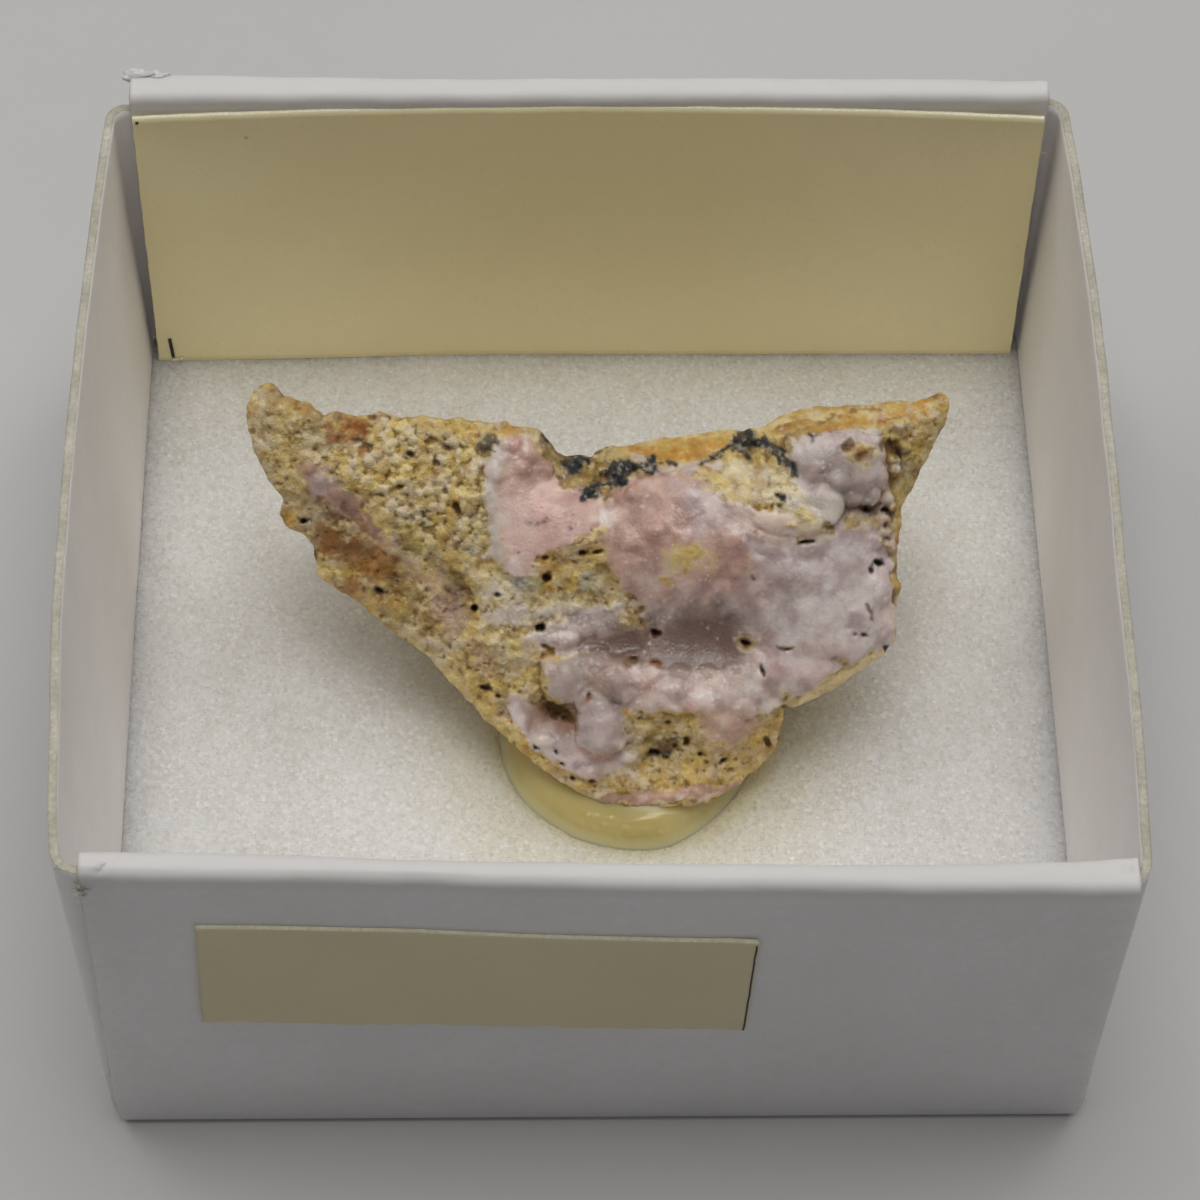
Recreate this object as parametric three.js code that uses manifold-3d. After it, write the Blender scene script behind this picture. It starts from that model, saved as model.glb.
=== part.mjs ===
// A smithsonite hand specimen, glued on foam in a small folded card tray with its two label cards.
// Millimetres, +Z up. The origin is the middle of the tray's underside; the tray's front faces -Y.
import * as THREE from "three";
import { mergeVertices } from "three/addons/utils/BufferGeometryUtils.js";
import Module from "manifold-3d";

// Tray: one folded sheet, 4 x 4 x 2 cm nominal.
const PANEL_WIDTH = 39.0;
const DEPTH = 39.5;
const HEIGHT = 19.3;
const BOARD = 0.4;
const DOUBLE_WALL = 1.1;
const FOLD_RISE = 0.45;
const TAB_LENGTH = 6;
const CORNER_RADIUS = 0.9;
const RIM_FRONT = 18.9;
const RIM_BACK = 18.1;
const SIDE_STEPS = 14;
const CORNER_STEPS = 4;
const LIFT_STEPS = 3;
const LEAN_START = 18;
const LEAN_FULL = 19.5;

// Each single side wall: its outer reach from the middle at the floor and at the ends of the rim,
// and how far the rim bows out further at mid length.
const LEFT_WALL = { side: -1, base: 19.95, rim: 20.5, bow: 0.5 };
const RIGHT_WALL = { side: 1, base: 20.05, rim: 20.1, bow: 0.35 };

// Foam sheet on the tray's floor.
const FOAM_TOP = 3.0;
const FOAM_WIDTH = 39.0;
const FOAM_DEPTH = 37.2;
const FOAM_EDGE = 0.25;

// Label card that stands on the foam and leans on the back wall.
const CARD_THICKNESS = 0.25;
const CARD_WIDTH = 38.7;
const CARD_TOP = 18.6;
const CARD_FOOT_Y = 17.75;
const CARD_TOP_Y = 18.25;

// Number label glued to the front wall, turned a little clockwise as seen from the front.
const NUMBER_WIDTH = 21.2;
const NUMBER_HEIGHT = 7.0;
const NUMBER_X = -4.9;
const NUMBER_Z = 11.75;
const NUMBER_TILT = THREE.MathUtils.degToRad(2.9);

// Puck of glue between the foam and the stone: radius and height of its outline.
const PUCK_X = 1.75;
const PUCK_Y = -2.95;
const SEAT_Z = 4.6;
const PUCK_PROFILE = [
  [5.55, 0],
  [5.7, 0.2],
  [5.65, 0.7],
  [5.4, 1.2],
  [4.9, SEAT_Z - FOAM_TOP],
];
const PUCK_SEGMENTS = 48;

// Stone: a slab that leans back. Its face lies in a plane through STONE_CENTRE whose normal rises
// FACE_RISE above the horizon towards the front. On that plane u runs right and v up the face.
const STONE_CENTRE = new THREE.Vector3(0.2, -0.8, 9.9);
const FACE_RISE = THREE.MathUtils.degToRad(52);
const STONE_OUTLINE = [
  [14.1, 8.7], [13.5, 8.4], [12.1, 8.25], [10.0, 8.05], [8.2, 7.85], [6.9, 7.3],
  [5.0, 7.05], [2.5, 6.9], [0.6, 6.5], [-0.35, 6.0], [-1.2, 6.6], [-2.65, 7.1],
  [-3.9, 7.4], [-6.8, 7.45], [-8.4, 7.5], [-10.1, 7.6], [-11.5, 7.6], [-12.2, 8.15],
  [-13.1, 8.5], [-13.9, 9.0], [-14.4, 8.7], [-14.7, 8.0], [-14.6, 7.2], [-14.2, 6.0],
  [-13.7, 4.9], [-13.2, 4.2], [-13.1, 3.05], [-12.3, 2.6], [-11.9, 1.8], [-11.5, 0.7],
  [-10.2, -0.2], [-8.8, -1.5], [-7.2, -2.5], [-5.5, -4.3], [-3.8, -5.9], [-2.5, -6.9],
  [-1.3, -7.8], [0.0, -8.45], [1.2, -8.7], [2.9, -8.6], [4.8, -8.45], [5.7, -8.0],
  [6.7, -7.3], [7.3, -6.4], [7.6, -4.5], [8.6, -4.2], [10.0, -3.4], [11.5, -2.4],
  [12.1, -1.6], [12.25, -0.8], [12.5, 0.5], [12.3, 1.0], [12.4, 2.8], [13.0, 4.2],
  [13.6, 5.5], [14.2, 6.9], [14.5, 7.9],
];
const SPOKES = 90;
const FACE_RINGS = 15;
const BACK_RINGS = 10;
const EDGE_SHARE = 0.4;
const STONE_DEPTH = 7.4;
const HORN_THINNING = 3.2;
const HORN_U = 14;
const RIM_DEPTH = 1.3;
const RIM_SHARPNESS = 6;
const FOOT_V = -8;
const FOOT_FADE = 5;
const BACK_TAPER = 0.88;
const SEAT_REACH = 4.2;
const SEAT_OVERCUT = 0.3;
const WING_RISE = 0.3;
const LEAST_DEPTH = 0.8;

// Swellings (rise > 0) and hollows (rise < 0) of the face: place, radius and rise.
const FACE_FORMS = [
  { u: 4.5, v: 1.5, radius: 6.5, rise: 1.0 },
  { u: 9.6, v: 5.4, radius: 2.0, rise: 1.5 },
  { u: 6.9, v: 4.4, radius: 2.2, rise: 0.7 },
  { u: -2.9, v: 3.6, radius: 2.6, rise: 0.8 },
  { u: -6.8, v: 4.8, radius: 2.8, rise: 0.6 },
  { u: -0.9, v: -3.3, radius: 1.6, rise: 0.9 },
  { u: 0.2, v: -5.4, radius: 1.3, rise: 1.1 },
  { u: 4.6, v: -4.4, radius: 2.4, rise: 0.6 },
  { u: 9.0, v: -1.0, radius: 3.2, rise: 0.5 },
  { u: -0.2, v: 4.9, radius: 1.5, rise: -0.9 },
  { u: -2.2, v: -4.6, radius: 1.2, rise: -1.2 },
  { u: 3.4, v: -2.6, radius: 1.8, rise: -0.6 },
  { u: 12.2, v: 6.2, radius: 1.5, rise: -1.0 },
  { u: 3.6, v: -7.0, radius: 2.6, rise: -0.9 },
  { u: -10.6, v: 1.6, radius: 2.6, rise: -0.7 },
];
const FORM_SHARPNESS = 1.5;
const LEFT_FALL = 0.16;
const LEFT_FALL_U = -5;
const GRAIN = 0.3;
const GRAIN_PITCH = 1.6;
const SIDE_GRAIN = 0.04;

const MERGE_DISTANCE = 1e-4;
const HASH_STEPS = [127.1, 311.7, 74.7];
const HASH_SCALE = 43758.5453;

const wasm = await Module();
wasm.setup();

function solidOf(geometry) {
  const bare = new THREE.BufferGeometry();
  bare.setAttribute("position", geometry.getAttribute("position"));
  bare.setIndex(geometry.index);
  const merged = mergeVertices(bare, MERGE_DISTANCE);
  return new wasm.Manifold(
    new wasm.Mesh({
      numProp: 3,
      vertProperties: new Float32Array(merged.attributes.position.array),
      triVerts: new Uint32Array(merged.index.array),
    }),
  );
}

function geometryOf(solid) {
  const mesh = solid.getMesh();
  const geometry = new THREE.BufferGeometry();
  geometry.setAttribute("position", new THREE.BufferAttribute(mesh.vertProperties, 3));
  geometry.setIndex(new THREE.BufferAttribute(mesh.triVerts, 1));
  geometry.computeVertexNormals();
  return geometry;
}

function named(name, geometry, color, roughness) {
  const material = new THREE.MeshStandardMaterial({ color, roughness, metalness: 0 });
  const mesh = new THREE.Mesh(geometry, material);
  mesh.name = name;
  return mesh;
}

// Extrudes a section drawn in the Y-Z plane along X, centred on X = 0.
function extrudeAlongX(section, length) {
  const geometry = new THREE.ExtrudeGeometry(section, { depth: length, bevelEnabled: false });
  const axes = new THREE.Matrix4().makeBasis(
    new THREE.Vector3(0, 1, 0),
    new THREE.Vector3(0, 0, 1),
    new THREE.Vector3(1, 0, 0),
  );
  return geometry.applyMatrix4(axes).translate(-length / 2, 0, 0);
}

function boxBetween(low, high) {
  const size = high.map((value, i) => value - low[i]);
  const middle = high.map((value, i) => (value + low[i]) / 2);
  return new THREE.BoxGeometry(...size).translate(...middle);
}

// Front (side = -1) or back (side = 1) wall: doubled board with a rounded fold on top.
function doubledWall(side) {
  const outer = side * (DEPTH / 2);
  const middle = side * (DEPTH / 2 - DOUBLE_WALL / 2);
  const inner = side * (DEPTH / 2 - DOUBLE_WALL);
  const shoulder = HEIGHT - FOLD_RISE;
  const section = new THREE.Shape();
  section.moveTo(outer, 0);
  section.lineTo(outer, shoulder);
  const start = side > 0 ? 0 : Math.PI;
  section.absellipse(middle, shoulder, DOUBLE_WALL / 2, FOLD_RISE, start, Math.PI - start, side < 0, 0);
  section.lineTo(inner, 0);
  return solidOf(extrudeAlongX(section, PANEL_WIDTH));
}

// Middle line of a side wall in plan: tab, corner, straight side, corner, tab.
function sideLine(wall) {
  const tabY = DEPTH / 2 - DOUBLE_WALL / 2;
  const reach = wall.base - BOARD / 2;
  const line = [new THREE.Vector2(reach - TAB_LENGTH, -tabY)];
  const corner = (side, from) => {
    for (let i = 0; i <= CORNER_STEPS; i++) {
      const angle = from + (Math.PI / 2) * (i / CORNER_STEPS);
      const x = reach - CORNER_RADIUS + CORNER_RADIUS * Math.cos(angle);
      const y = side * (tabY - CORNER_RADIUS) + CORNER_RADIUS * Math.sin(angle);
      line.push(new THREE.Vector2(x, y));
    }
  };
  corner(-1, -Math.PI / 2);
  const straight = 2 * (tabY - CORNER_RADIUS);
  for (let i = 1; i < SIDE_STEPS; i++) {
    line.push(new THREE.Vector2(reach, -straight / 2 + (straight * i) / SIDE_STEPS));
  }
  corner(1, 0);
  line.push(new THREE.Vector2(reach - TAB_LENGTH, tabY));
  return line;
}

// Offsets an open line sideways.
function offsetLine(line, distance) {
  return line.map((point, i) => {
    const before = line[Math.max(i - 1, 0)];
    const after = line[Math.min(i + 1, line.length - 1)];
    const along = after.clone().sub(before).normalize();
    return new THREE.Vector2(point.x + along.y * distance, point.y - along.x * distance);
  });
}

// Leans a side wall outwards towards its bowed rim and slopes the rim down to the back.
function leanOut(geometry, wall) {
  const position = geometry.getAttribute("position");
  for (let i = 0; i < position.count; i++) {
    const x = position.getX(i);
    const y = position.getY(i);
    const height = position.getZ(i) / HEIGHT;
    const along = (2 * y) / DEPTH;
    const gain = wall.rim - wall.base + wall.bow * (1 - along * along);
    const share = THREE.MathUtils.smoothstep(x, LEAN_START, LEAN_FULL);
    position.setX(i, wall.side * (x + gain * share * height));
    position.setZ(i, height * THREE.MathUtils.lerp(RIM_FRONT, RIM_BACK, (along + 1) / 2));
  }
  if (wall.side < 0) {
    flipFaces(geometry);
  }
  return geometry;
}

function flipFaces(geometry) {
  const position = geometry.getAttribute("position");
  const a = new THREE.Vector3();
  const b = new THREE.Vector3();
  for (let i = 0; i < position.count; i += 3) {
    a.fromBufferAttribute(position, i);
    b.fromBufferAttribute(position, i + 1);
    position.setXYZ(i, b.x, b.y, b.z);
    position.setXYZ(i + 1, a.x, a.y, a.z);
  }
}

function sideWall(wall) {
  const line = sideLine(wall);
  const outer = offsetLine(line, BOARD / 2);
  const inner = offsetLine(line, -BOARD / 2).reverse();
  const section = new THREE.Shape([...outer, ...inner]);
  const options = { depth: HEIGHT, steps: LIFT_STEPS, bevelEnabled: false };
  const geometry = new THREE.ExtrudeGeometry(section, options);
  return solidOf(leanOut(geometry, wall));
}

function tray() {
  const floor = boxBetween(
    [-LEFT_WALL.base + BOARD / 2, -DEPTH / 2 + BOARD, 0],
    [RIGHT_WALL.base - BOARD / 2, DEPTH / 2 - BOARD, BOARD],
  );
  const walls = [doubledWall(-1), doubledWall(1), sideWall(LEFT_WALL), sideWall(RIGHT_WALL)];
  const whole = walls.reduce((joined, wall) => joined.add(wall), solidOf(floor));
  return named("tray", geometryOf(whole), "#d9d8d6", 0.7);
}

// The foam sheet's upper edges are chamfered at the front and the back.
function foamPad() {
  const reach = FOAM_DEPTH / 2;
  const section = new THREE.Shape();
  section.moveTo(-reach, BOARD);
  section.lineTo(reach, BOARD);
  section.lineTo(reach, FOAM_TOP - FOAM_EDGE);
  section.lineTo(reach - FOAM_EDGE, FOAM_TOP);
  section.lineTo(-reach + FOAM_EDGE, FOAM_TOP);
  section.lineTo(-reach, FOAM_TOP - FOAM_EDGE);
  return named("foam_pad", extrudeAlongX(section, FOAM_WIDTH), "#dcdad4", 0.85);
}

function labelCard() {
  const section = new THREE.Shape();
  section.moveTo(CARD_FOOT_Y, FOAM_TOP);
  section.lineTo(CARD_FOOT_Y + CARD_THICKNESS, FOAM_TOP);
  section.lineTo(CARD_TOP_Y + CARD_THICKNESS, CARD_TOP);
  section.lineTo(CARD_TOP_Y, CARD_TOP);
  return named("label_card", extrudeAlongX(section, CARD_WIDTH), "#e3d6a2", 0.75);
}

function numberLabel() {
  const plate = new THREE.BoxGeometry(NUMBER_WIDTH, CARD_THICKNESS, NUMBER_HEIGHT);
  plate.rotateY(NUMBER_TILT);
  plate.translate(NUMBER_X, -DEPTH / 2 - CARD_THICKNESS / 2, NUMBER_Z);
  return named("number_label", plate, "#e3d6a2", 0.75);
}

function gluePuck() {
  const profile = PUCK_PROFILE.map(([radius, height]) => new THREE.Vector2(radius, height));
  profile.unshift(new THREE.Vector2(0, 0));
  profile.push(new THREE.Vector2(0, SEAT_Z - FOAM_TOP));
  const geometry = new THREE.LatheGeometry(profile, PUCK_SEGMENTS);
  geometry.rotateX(Math.PI / 2).translate(PUCK_X, PUCK_Y, FOAM_TOP);
  return named("glue_puck", geometry, "#c9bd6b", 0.25);
}

// Distance from the middle of the face to the outline along a spoke.
function reachAlong(angle) {
  const way = new THREE.Vector2(Math.cos(angle), Math.sin(angle));
  let reach = 0;
  STONE_OUTLINE.forEach(([u, v], i) => {
    const [nextU, nextV] = STONE_OUTLINE[(i + 1) % STONE_OUTLINE.length];
    const side = new THREE.Vector2(nextU - u, nextV - v);
    const start = new THREE.Vector2(u, v);
    const turn = way.cross(side);
    const along = start.cross(side) / turn;
    const share = start.cross(way) / turn;
    if (along > reach && share >= 0 && share <= 1) {
      reach = along;
    }
  });
  return reach;
}

// Smooth value noise from -1 to 1, the same on every run.
function hash(cell) {
  const mixed = cell.reduce((sum, index, axis) => sum + index * HASH_STEPS[axis], 0);
  const value = Math.sin(mixed) * HASH_SCALE;
  return 2 * (value - Math.floor(value)) - 1;
}

function noise(x, y, z) {
  const cell = [x, y, z].map(Math.floor);
  const part = [x, y, z].map((value, i) => THREE.MathUtils.smootherstep(value - cell[i], 0, 1));
  let sum = 0;
  for (let corner = 0; corner < 8; corner++) {
    const step = [corner & 1, (corner >> 1) & 1, (corner >> 2) & 1];
    const weight = step.reduce((product, s, i) => product * (s ? part[i] : 1 - part[i]), 1);
    sum += weight * hash(cell.map((index, i) => index + step[i]));
  }
  return sum;
}

function faceHeight(u, v) {
  const forms = FACE_FORMS.reduce((sum, form) => {
    const distance = Math.hypot(u - form.u, v - form.v) / form.radius;
    return sum + form.rise * Math.exp(-FORM_SHARPNESS * distance * distance);
  }, 0);
  return forms + LEFT_FALL * Math.min(u - LEFT_FALL_U, 0);
}

// How far the rim lies behind the face: nothing at the foot, where the face meets the glue.
function rimDepth(v) {
  return RIM_DEPTH * THREE.MathUtils.smoothstep(v, FOOT_V, FOOT_V + FOOT_FADE);
}

// Depth of the back behind the face: the stone is thickest in the middle and thin at its horns. Over
// the glue the back ends at the seat, and beside the glue it rises clear of the foam.
function backDepth(u, v) {
  const body = STONE_DEPTH - HORN_THINNING * Math.pow(u / HORN_U, 2);
  const beside = Math.max(Math.abs(u - PUCK_X) - SEAT_REACH, 0);
  const floor = SEAT_Z - SEAT_OVERCUT + WING_RISE * beside;
  const room = (STONE_CENTRE.z + v * Math.cos(FACE_RISE) - floor) / Math.sin(FACE_RISE);
  return Math.max(Math.min(body, room), LEAST_DEPTH);
}

// A point of the stone's surface. ring runs from 0 at the face's hub to 1 at the rim, down the
// broken edge to 1 + EDGE_SHARE, and on to 2 at the hub of the back.
function stonePoint(angle, ring) {
  const reach = reachAlong(angle);
  const down = THREE.MathUtils.clamp((ring - 1) / EDGE_SHARE, 0, 1);
  const across = Math.max((ring - 1 - EDGE_SHARE) / (1 - EDGE_SHARE), 0);
  const share = Math.min(ring, 1) * THREE.MathUtils.lerp(1, BACK_TAPER, down) * (1 - across);
  const u = Math.cos(angle) * reach * share;
  const v = Math.sin(angle) * reach * share;
  const edge = Math.pow(Math.min(ring, 1), RIM_SHARPNESS) * rimDepth(v);
  const face = faceHeight(u, v) - edge;
  const n = THREE.MathUtils.lerp(face, -backDepth(u, v), down);
  const rough = GRAIN * noise(u / GRAIN_PITCH, v / GRAIN_PITCH, n / GRAIN_PITCH);
  return [u * (1 + rough * SIDE_GRAIN), v * (1 + rough * SIDE_GRAIN), n + rough];
}

function stoneGeometry() {
  const rings = FACE_RINGS + BACK_RINGS;
  const points = [stonePoint(0, 0)];
  for (let r = 1; r < rings; r++) {
    const ring = r <= FACE_RINGS ? r / FACE_RINGS : 1 + (r - FACE_RINGS) / BACK_RINGS;
    for (let s = 0; s < SPOKES; s++) {
      points.push(stonePoint((2 * Math.PI * s) / SPOKES, ring));
    }
  }
  points.push(stonePoint(0, 2));
  const at = (r, s) => 1 + (r - 1) * SPOKES + (s % SPOKES);
  const faces = [];
  for (let s = 0; s < SPOKES; s++) {
    faces.push(0, at(1, s), at(1, s + 1));
    for (let r = 1; r < rings - 1; r++) {
      faces.push(at(r, s), at(r + 1, s), at(r + 1, s + 1));
      faces.push(at(r, s), at(r + 1, s + 1), at(r, s + 1));
    }
    faces.push(at(rings - 1, s), points.length - 1, at(rings - 1, s + 1));
  }
  const geometry = new THREE.BufferGeometry();
  geometry.setAttribute("position", new THREE.Float32BufferAttribute(points.flat(), 3));
  geometry.setIndex(faces);
  return geometry;
}

// The stone's underside is level where it sits on the glue.
function specimen() {
  const right = new THREE.Vector3(1, 0, 0);
  const normal = new THREE.Vector3(0, -Math.cos(FACE_RISE), Math.sin(FACE_RISE));
  const up = new THREE.Vector3().crossVectors(normal, right);
  const geometry = stoneGeometry();
  geometry.applyMatrix4(new THREE.Matrix4().makeBasis(right, up, normal).setPosition(STONE_CENTRE));
  const below = boxBetween([-DEPTH, -DEPTH, -DEPTH], [DEPTH, DEPTH, SEAT_Z]);
  const stone = solidOf(geometry).subtract(solidOf(below));
  return named("specimen", geometryOf(stone), "#b79f8e", 0.6);
}

const object = new THREE.Group();
object.add(tray(), foamPad(), labelCard(), numberLabel(), gluePuck(), specimen());

export default object;
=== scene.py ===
import math

import bpy
import numpy as np
from mathutils import Matrix, Vector


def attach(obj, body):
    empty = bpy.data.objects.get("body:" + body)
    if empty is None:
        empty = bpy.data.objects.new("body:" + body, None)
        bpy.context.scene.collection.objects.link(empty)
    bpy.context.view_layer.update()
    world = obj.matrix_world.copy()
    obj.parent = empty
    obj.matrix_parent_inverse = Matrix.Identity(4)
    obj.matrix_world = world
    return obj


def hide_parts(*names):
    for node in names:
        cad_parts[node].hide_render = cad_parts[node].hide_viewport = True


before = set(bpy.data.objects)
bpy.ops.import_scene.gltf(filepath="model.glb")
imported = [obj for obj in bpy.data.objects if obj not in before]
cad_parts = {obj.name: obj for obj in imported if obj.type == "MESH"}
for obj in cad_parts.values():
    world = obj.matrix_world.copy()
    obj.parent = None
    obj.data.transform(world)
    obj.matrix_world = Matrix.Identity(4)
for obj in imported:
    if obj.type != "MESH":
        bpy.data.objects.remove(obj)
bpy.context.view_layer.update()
MM = 0.001

# ---------------------------------------------------------------- camera
# Places that are given as (x, y) in 1200ths of the picture are where this camera sees them.
FOCAL = 3932.5
EYE = np.array([-4.10, -92.84, 144.27])
YAW, PITCH_DOWN, ROLL = (math.radians(a) for a in (-2.666, 55.558, 2.034))
MIDDLE = 600.0

AHEAD = np.array(
    [-math.sin(YAW) * math.cos(PITCH_DOWN), math.cos(YAW) * math.cos(PITCH_DOWN), -math.sin(PITCH_DOWN)]
)
LEVEL = np.array([math.cos(YAW), math.sin(YAW), 0.0])
RISING = np.cross(LEVEL, AHEAD)
RIGHT = math.cos(ROLL) * LEVEL + math.sin(ROLL) * RISING
UPWARD = -math.sin(ROLL) * LEVEL + math.cos(ROLL) * RISING


def seen(point):
    """Where the camera sees points given in millimetres."""
    d = point - EYE
    depth = d @ AHEAD
    return MIDDLE + FOCAL * (d @ RIGHT) / depth, MIDDLE - FOCAL * (d @ UPWARD) / depth


def add_camera():
    data = bpy.data.cameras.new("camera")
    data.sensor_width = 36
    data.lens = 36 * FOCAL / (2 * MIDDLE)
    data.clip_start, data.clip_end = 0.01, 10
    cam = bpy.data.objects.new("camera", data)
    bpy.context.scene.collection.objects.link(cam)
    cam.matrix_world = Matrix(
        [[RIGHT[i], UPWARD[i], -AHEAD[i], EYE[i] * MM] for i in range(3)] + [[0, 0, 0, 1]]
    )
    bpy.context.scene.camera = cam


# ---------------------------------------------------------------- numbers
JITTER = 0.9


def ramp(x, a, b):
    t = np.clip((x - a) / (b - a), 0, 1)
    return t * t * (3 - 2 * t)


def mix(a, b, t):
    return a + (b - a) * t


def lattice(ix, iy, iz, seed):
    h = ix.astype(np.int64).astype(np.uint32) * np.uint32(0x8DA6B343)
    h ^= iy.astype(np.int64).astype(np.uint32) * np.uint32(0xD8163841)
    h ^= iz.astype(np.int64).astype(np.uint32) * np.uint32(0xCB1AB31F)
    h ^= np.uint32((seed * 0x9E3779B1 + 0x7F4A7C15) & 0xFFFFFFFF)
    h ^= h >> np.uint32(15)
    h *= np.uint32(0x2C1B3C6D)
    h ^= h >> np.uint32(12)
    h *= np.uint32(0x297A2D39)
    h ^= h >> np.uint32(15)
    return h.astype(np.float32) * np.float32(1 / 4294967296.0)


def noise(x, y, z, seed):
    """Smooth noise from -1 to 1 with a period of about 1."""
    x, y, z = np.broadcast_arrays(x, y, z)
    i, j, k = np.floor(x), np.floor(y), np.floor(z)
    fx, fy, fz = x - i, y - j, z - k
    fx, fy, fz = (t * t * t * (t * (6 * t - 15) + 10) for t in (fx, fy, fz))
    total = 0
    for a in (0, 1):
        for b in (0, 1):
            for c in (0, 1):
                w = (fx if a else 1 - fx) * (fy if b else 1 - fy) * (fz if c else 1 - fz)
                total = total + w * lattice(i + a, j + b, k + c, seed)
    return 2 * total - 1


def fbm(x, y, z, seed, octaves=3, gain=0.5):
    total, scale, size, norm = 0, 1.0, 1.0, 0.0
    for o in range(octaves):
        total = total + size * noise(x * scale, y * scale, z * scale, seed + 17 * o)
        norm += size
        scale *= 2.03
        size *= gain
    return total / norm


def cells(x, y, seed):
    """Distance to the nearest and second nearest site of a jittered grid, and a number per site."""
    i, j = np.floor(x), np.floor(y)
    near = np.full(x.shape, 9.0, np.float32)
    second = near.copy()
    mark = np.zeros(x.shape, np.float32)
    zero = np.zeros_like(i)
    for a in (-1, 0, 1):
        for b in (-1, 0, 1):
            ci, cj = i + a, j + b
            sx = ci + 0.5 + JITTER * (lattice(ci, cj, zero, seed) - 0.5)
            sy = cj + 0.5 + JITTER * (lattice(ci, cj, zero + 1, seed) - 0.5)
            d = np.hypot(x - sx, y - sy)
            closer = d < near
            second = np.where(closer, near, np.minimum(second, d))
            mark = np.where(closer, lattice(ci, cj, zero + 2, seed), mark)
            near = np.where(closer, d, near)
    return near, second, mark


def blur(a, steps):
    """Three box blurs in a row along both axes."""
    for _ in range(3):
        for axis in (0, 1):
            pad = [(0, 0), (0, 0)]
            pad[axis] = (steps + 1, steps)
            c = np.cumsum(np.pad(a, pad, mode="edge"), axis=axis, dtype=np.float64)
            n = a.shape[axis]
            hi = np.take(c, range(2 * steps + 1, 2 * steps + 1 + n), axis=axis)
            lo = np.take(c, range(0, n), axis=axis)
            a = (hi - lo) / (2 * steps + 1)
    return a


def area_distance(points, x, y):
    """Signed distance to a closed polygon, negative inside."""
    p = np.array(points, float)
    q = np.roll(p, -1, axis=0)
    best = np.full(x.shape, 1e12)
    inside = np.zeros(x.shape, bool)
    for (ax, ay), (bx, by) in zip(p, q):
        ex, ey = bx - ax, by - ay
        wx, wy = x - ax, y - ay
        t = np.clip((wx * ex + wy * ey) / (ex * ex + ey * ey + 1e-12), 0, 1)
        best = np.minimum(best, (wx - t * ex) ** 2 + (wy - t * ey) ** 2)
        crosses = ((ay <= y) & (by > y)) | ((by <= y) & (ay > y))
        if ay != by:
            inside ^= crosses & (x < ax + (y - ay) / (by - ay) * ex)
    d = np.sqrt(best)
    return np.where(inside, -d, d)


def line_distance(points, x, y):
    best = np.full(x.shape, 1e12)
    for (ax, ay), (bx, by) in zip(points[:-1], points[1:]):
        ex, ey = bx - ax, by - ay
        wx, wy = x - ax, y - ay
        t = np.clip((wx * ex + wy * ey) / (ex * ex + ey * ey + 1e-12), 0, 1)
        best = np.minimum(best, (wx - t * ex) ** 2 + (wy - t * ey) ** 2)
    return np.sqrt(best)


def spline(points, x, y):
    """A thin plate through (x, y, height) points."""
    p = np.array(points, float)
    c = p[:, :2] / 100
    n = len(p)

    def kernel(d2):
        return d2 * np.log(d2 + 1e-9)

    k = kernel(((c[:, None] - c[None]) ** 2).sum(-1)) + 0.02 * np.eye(n)
    one = np.hstack([np.ones((n, 1)), c])
    left = np.block([[k, one], [one.T, np.zeros((3, 3))]])
    w = np.linalg.solve(left, np.concatenate([p[:, 2], np.zeros(3)]))
    x, y = x / 100, y / 100
    out = w[n] + w[n + 1] * x + w[n + 2] * y
    for (cx, cy), wi in zip(c, w[:n]):
        out = out + wi * kernel((x - cx) ** 2 + (y - cy) ** 2)
    return out


def join_high(a, b, k):
    h = np.clip(0.5 + 0.5 * (a - b) / k, 0, 1)
    return mix(b, a, h) + k * h * (1 - h)


# ---------------------------------------------------------------- meshes
def make(name, verts, faces, slots=(), slot_of_face=None, attributes=None):
    """A mesh object from millimetres. faces is an array of quads or triangles, or a list."""
    mesh = bpy.data.meshes.new(name)
    verts = np.asarray(verts, np.float32) * MM
    if isinstance(faces, np.ndarray):
        n, k = faces.shape
        mesh.vertices.add(len(verts))
        mesh.vertices.foreach_set("co", verts.ravel())
        mesh.loops.add(n * k)
        mesh.loops.foreach_set("vertex_index", faces.ravel().astype(np.int32))
        mesh.polygons.add(n)
        mesh.polygons.foreach_set("loop_start", np.arange(0, n * k, k, dtype=np.int32))
    else:
        mesh.from_pydata(verts.tolist(), [], faces)
    mesh.update()
    mesh.validate()
    for m in slots:
        mesh.materials.append(m)
    if slot_of_face is not None:
        mesh.polygons.foreach_set("material_index", np.asarray(slot_of_face, np.int32))
    mesh.polygons.foreach_set("use_smooth", np.ones(len(mesh.polygons), bool))
    for key, value in (attributes or {}).items():
        value = np.asarray(value, np.float32)
        if value.ndim == 2:
            a = mesh.color_attributes.new(key, "FLOAT_COLOR", "POINT")
            rgba = np.ones((len(value), 4), np.float32)
            rgba[:, :3] = value
            a.data.foreach_set("color", rgba.ravel())
        else:
            a = mesh.attributes.new(key, "FLOAT", "POINT")
            a.data.foreach_set("value", value)
    mesh.update()
    o = bpy.data.objects.new(name, mesh)
    bpy.context.scene.collection.objects.link(o)
    return o


def is_piece_of(o, node):
    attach(o, "root")
    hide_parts(node)


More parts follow.
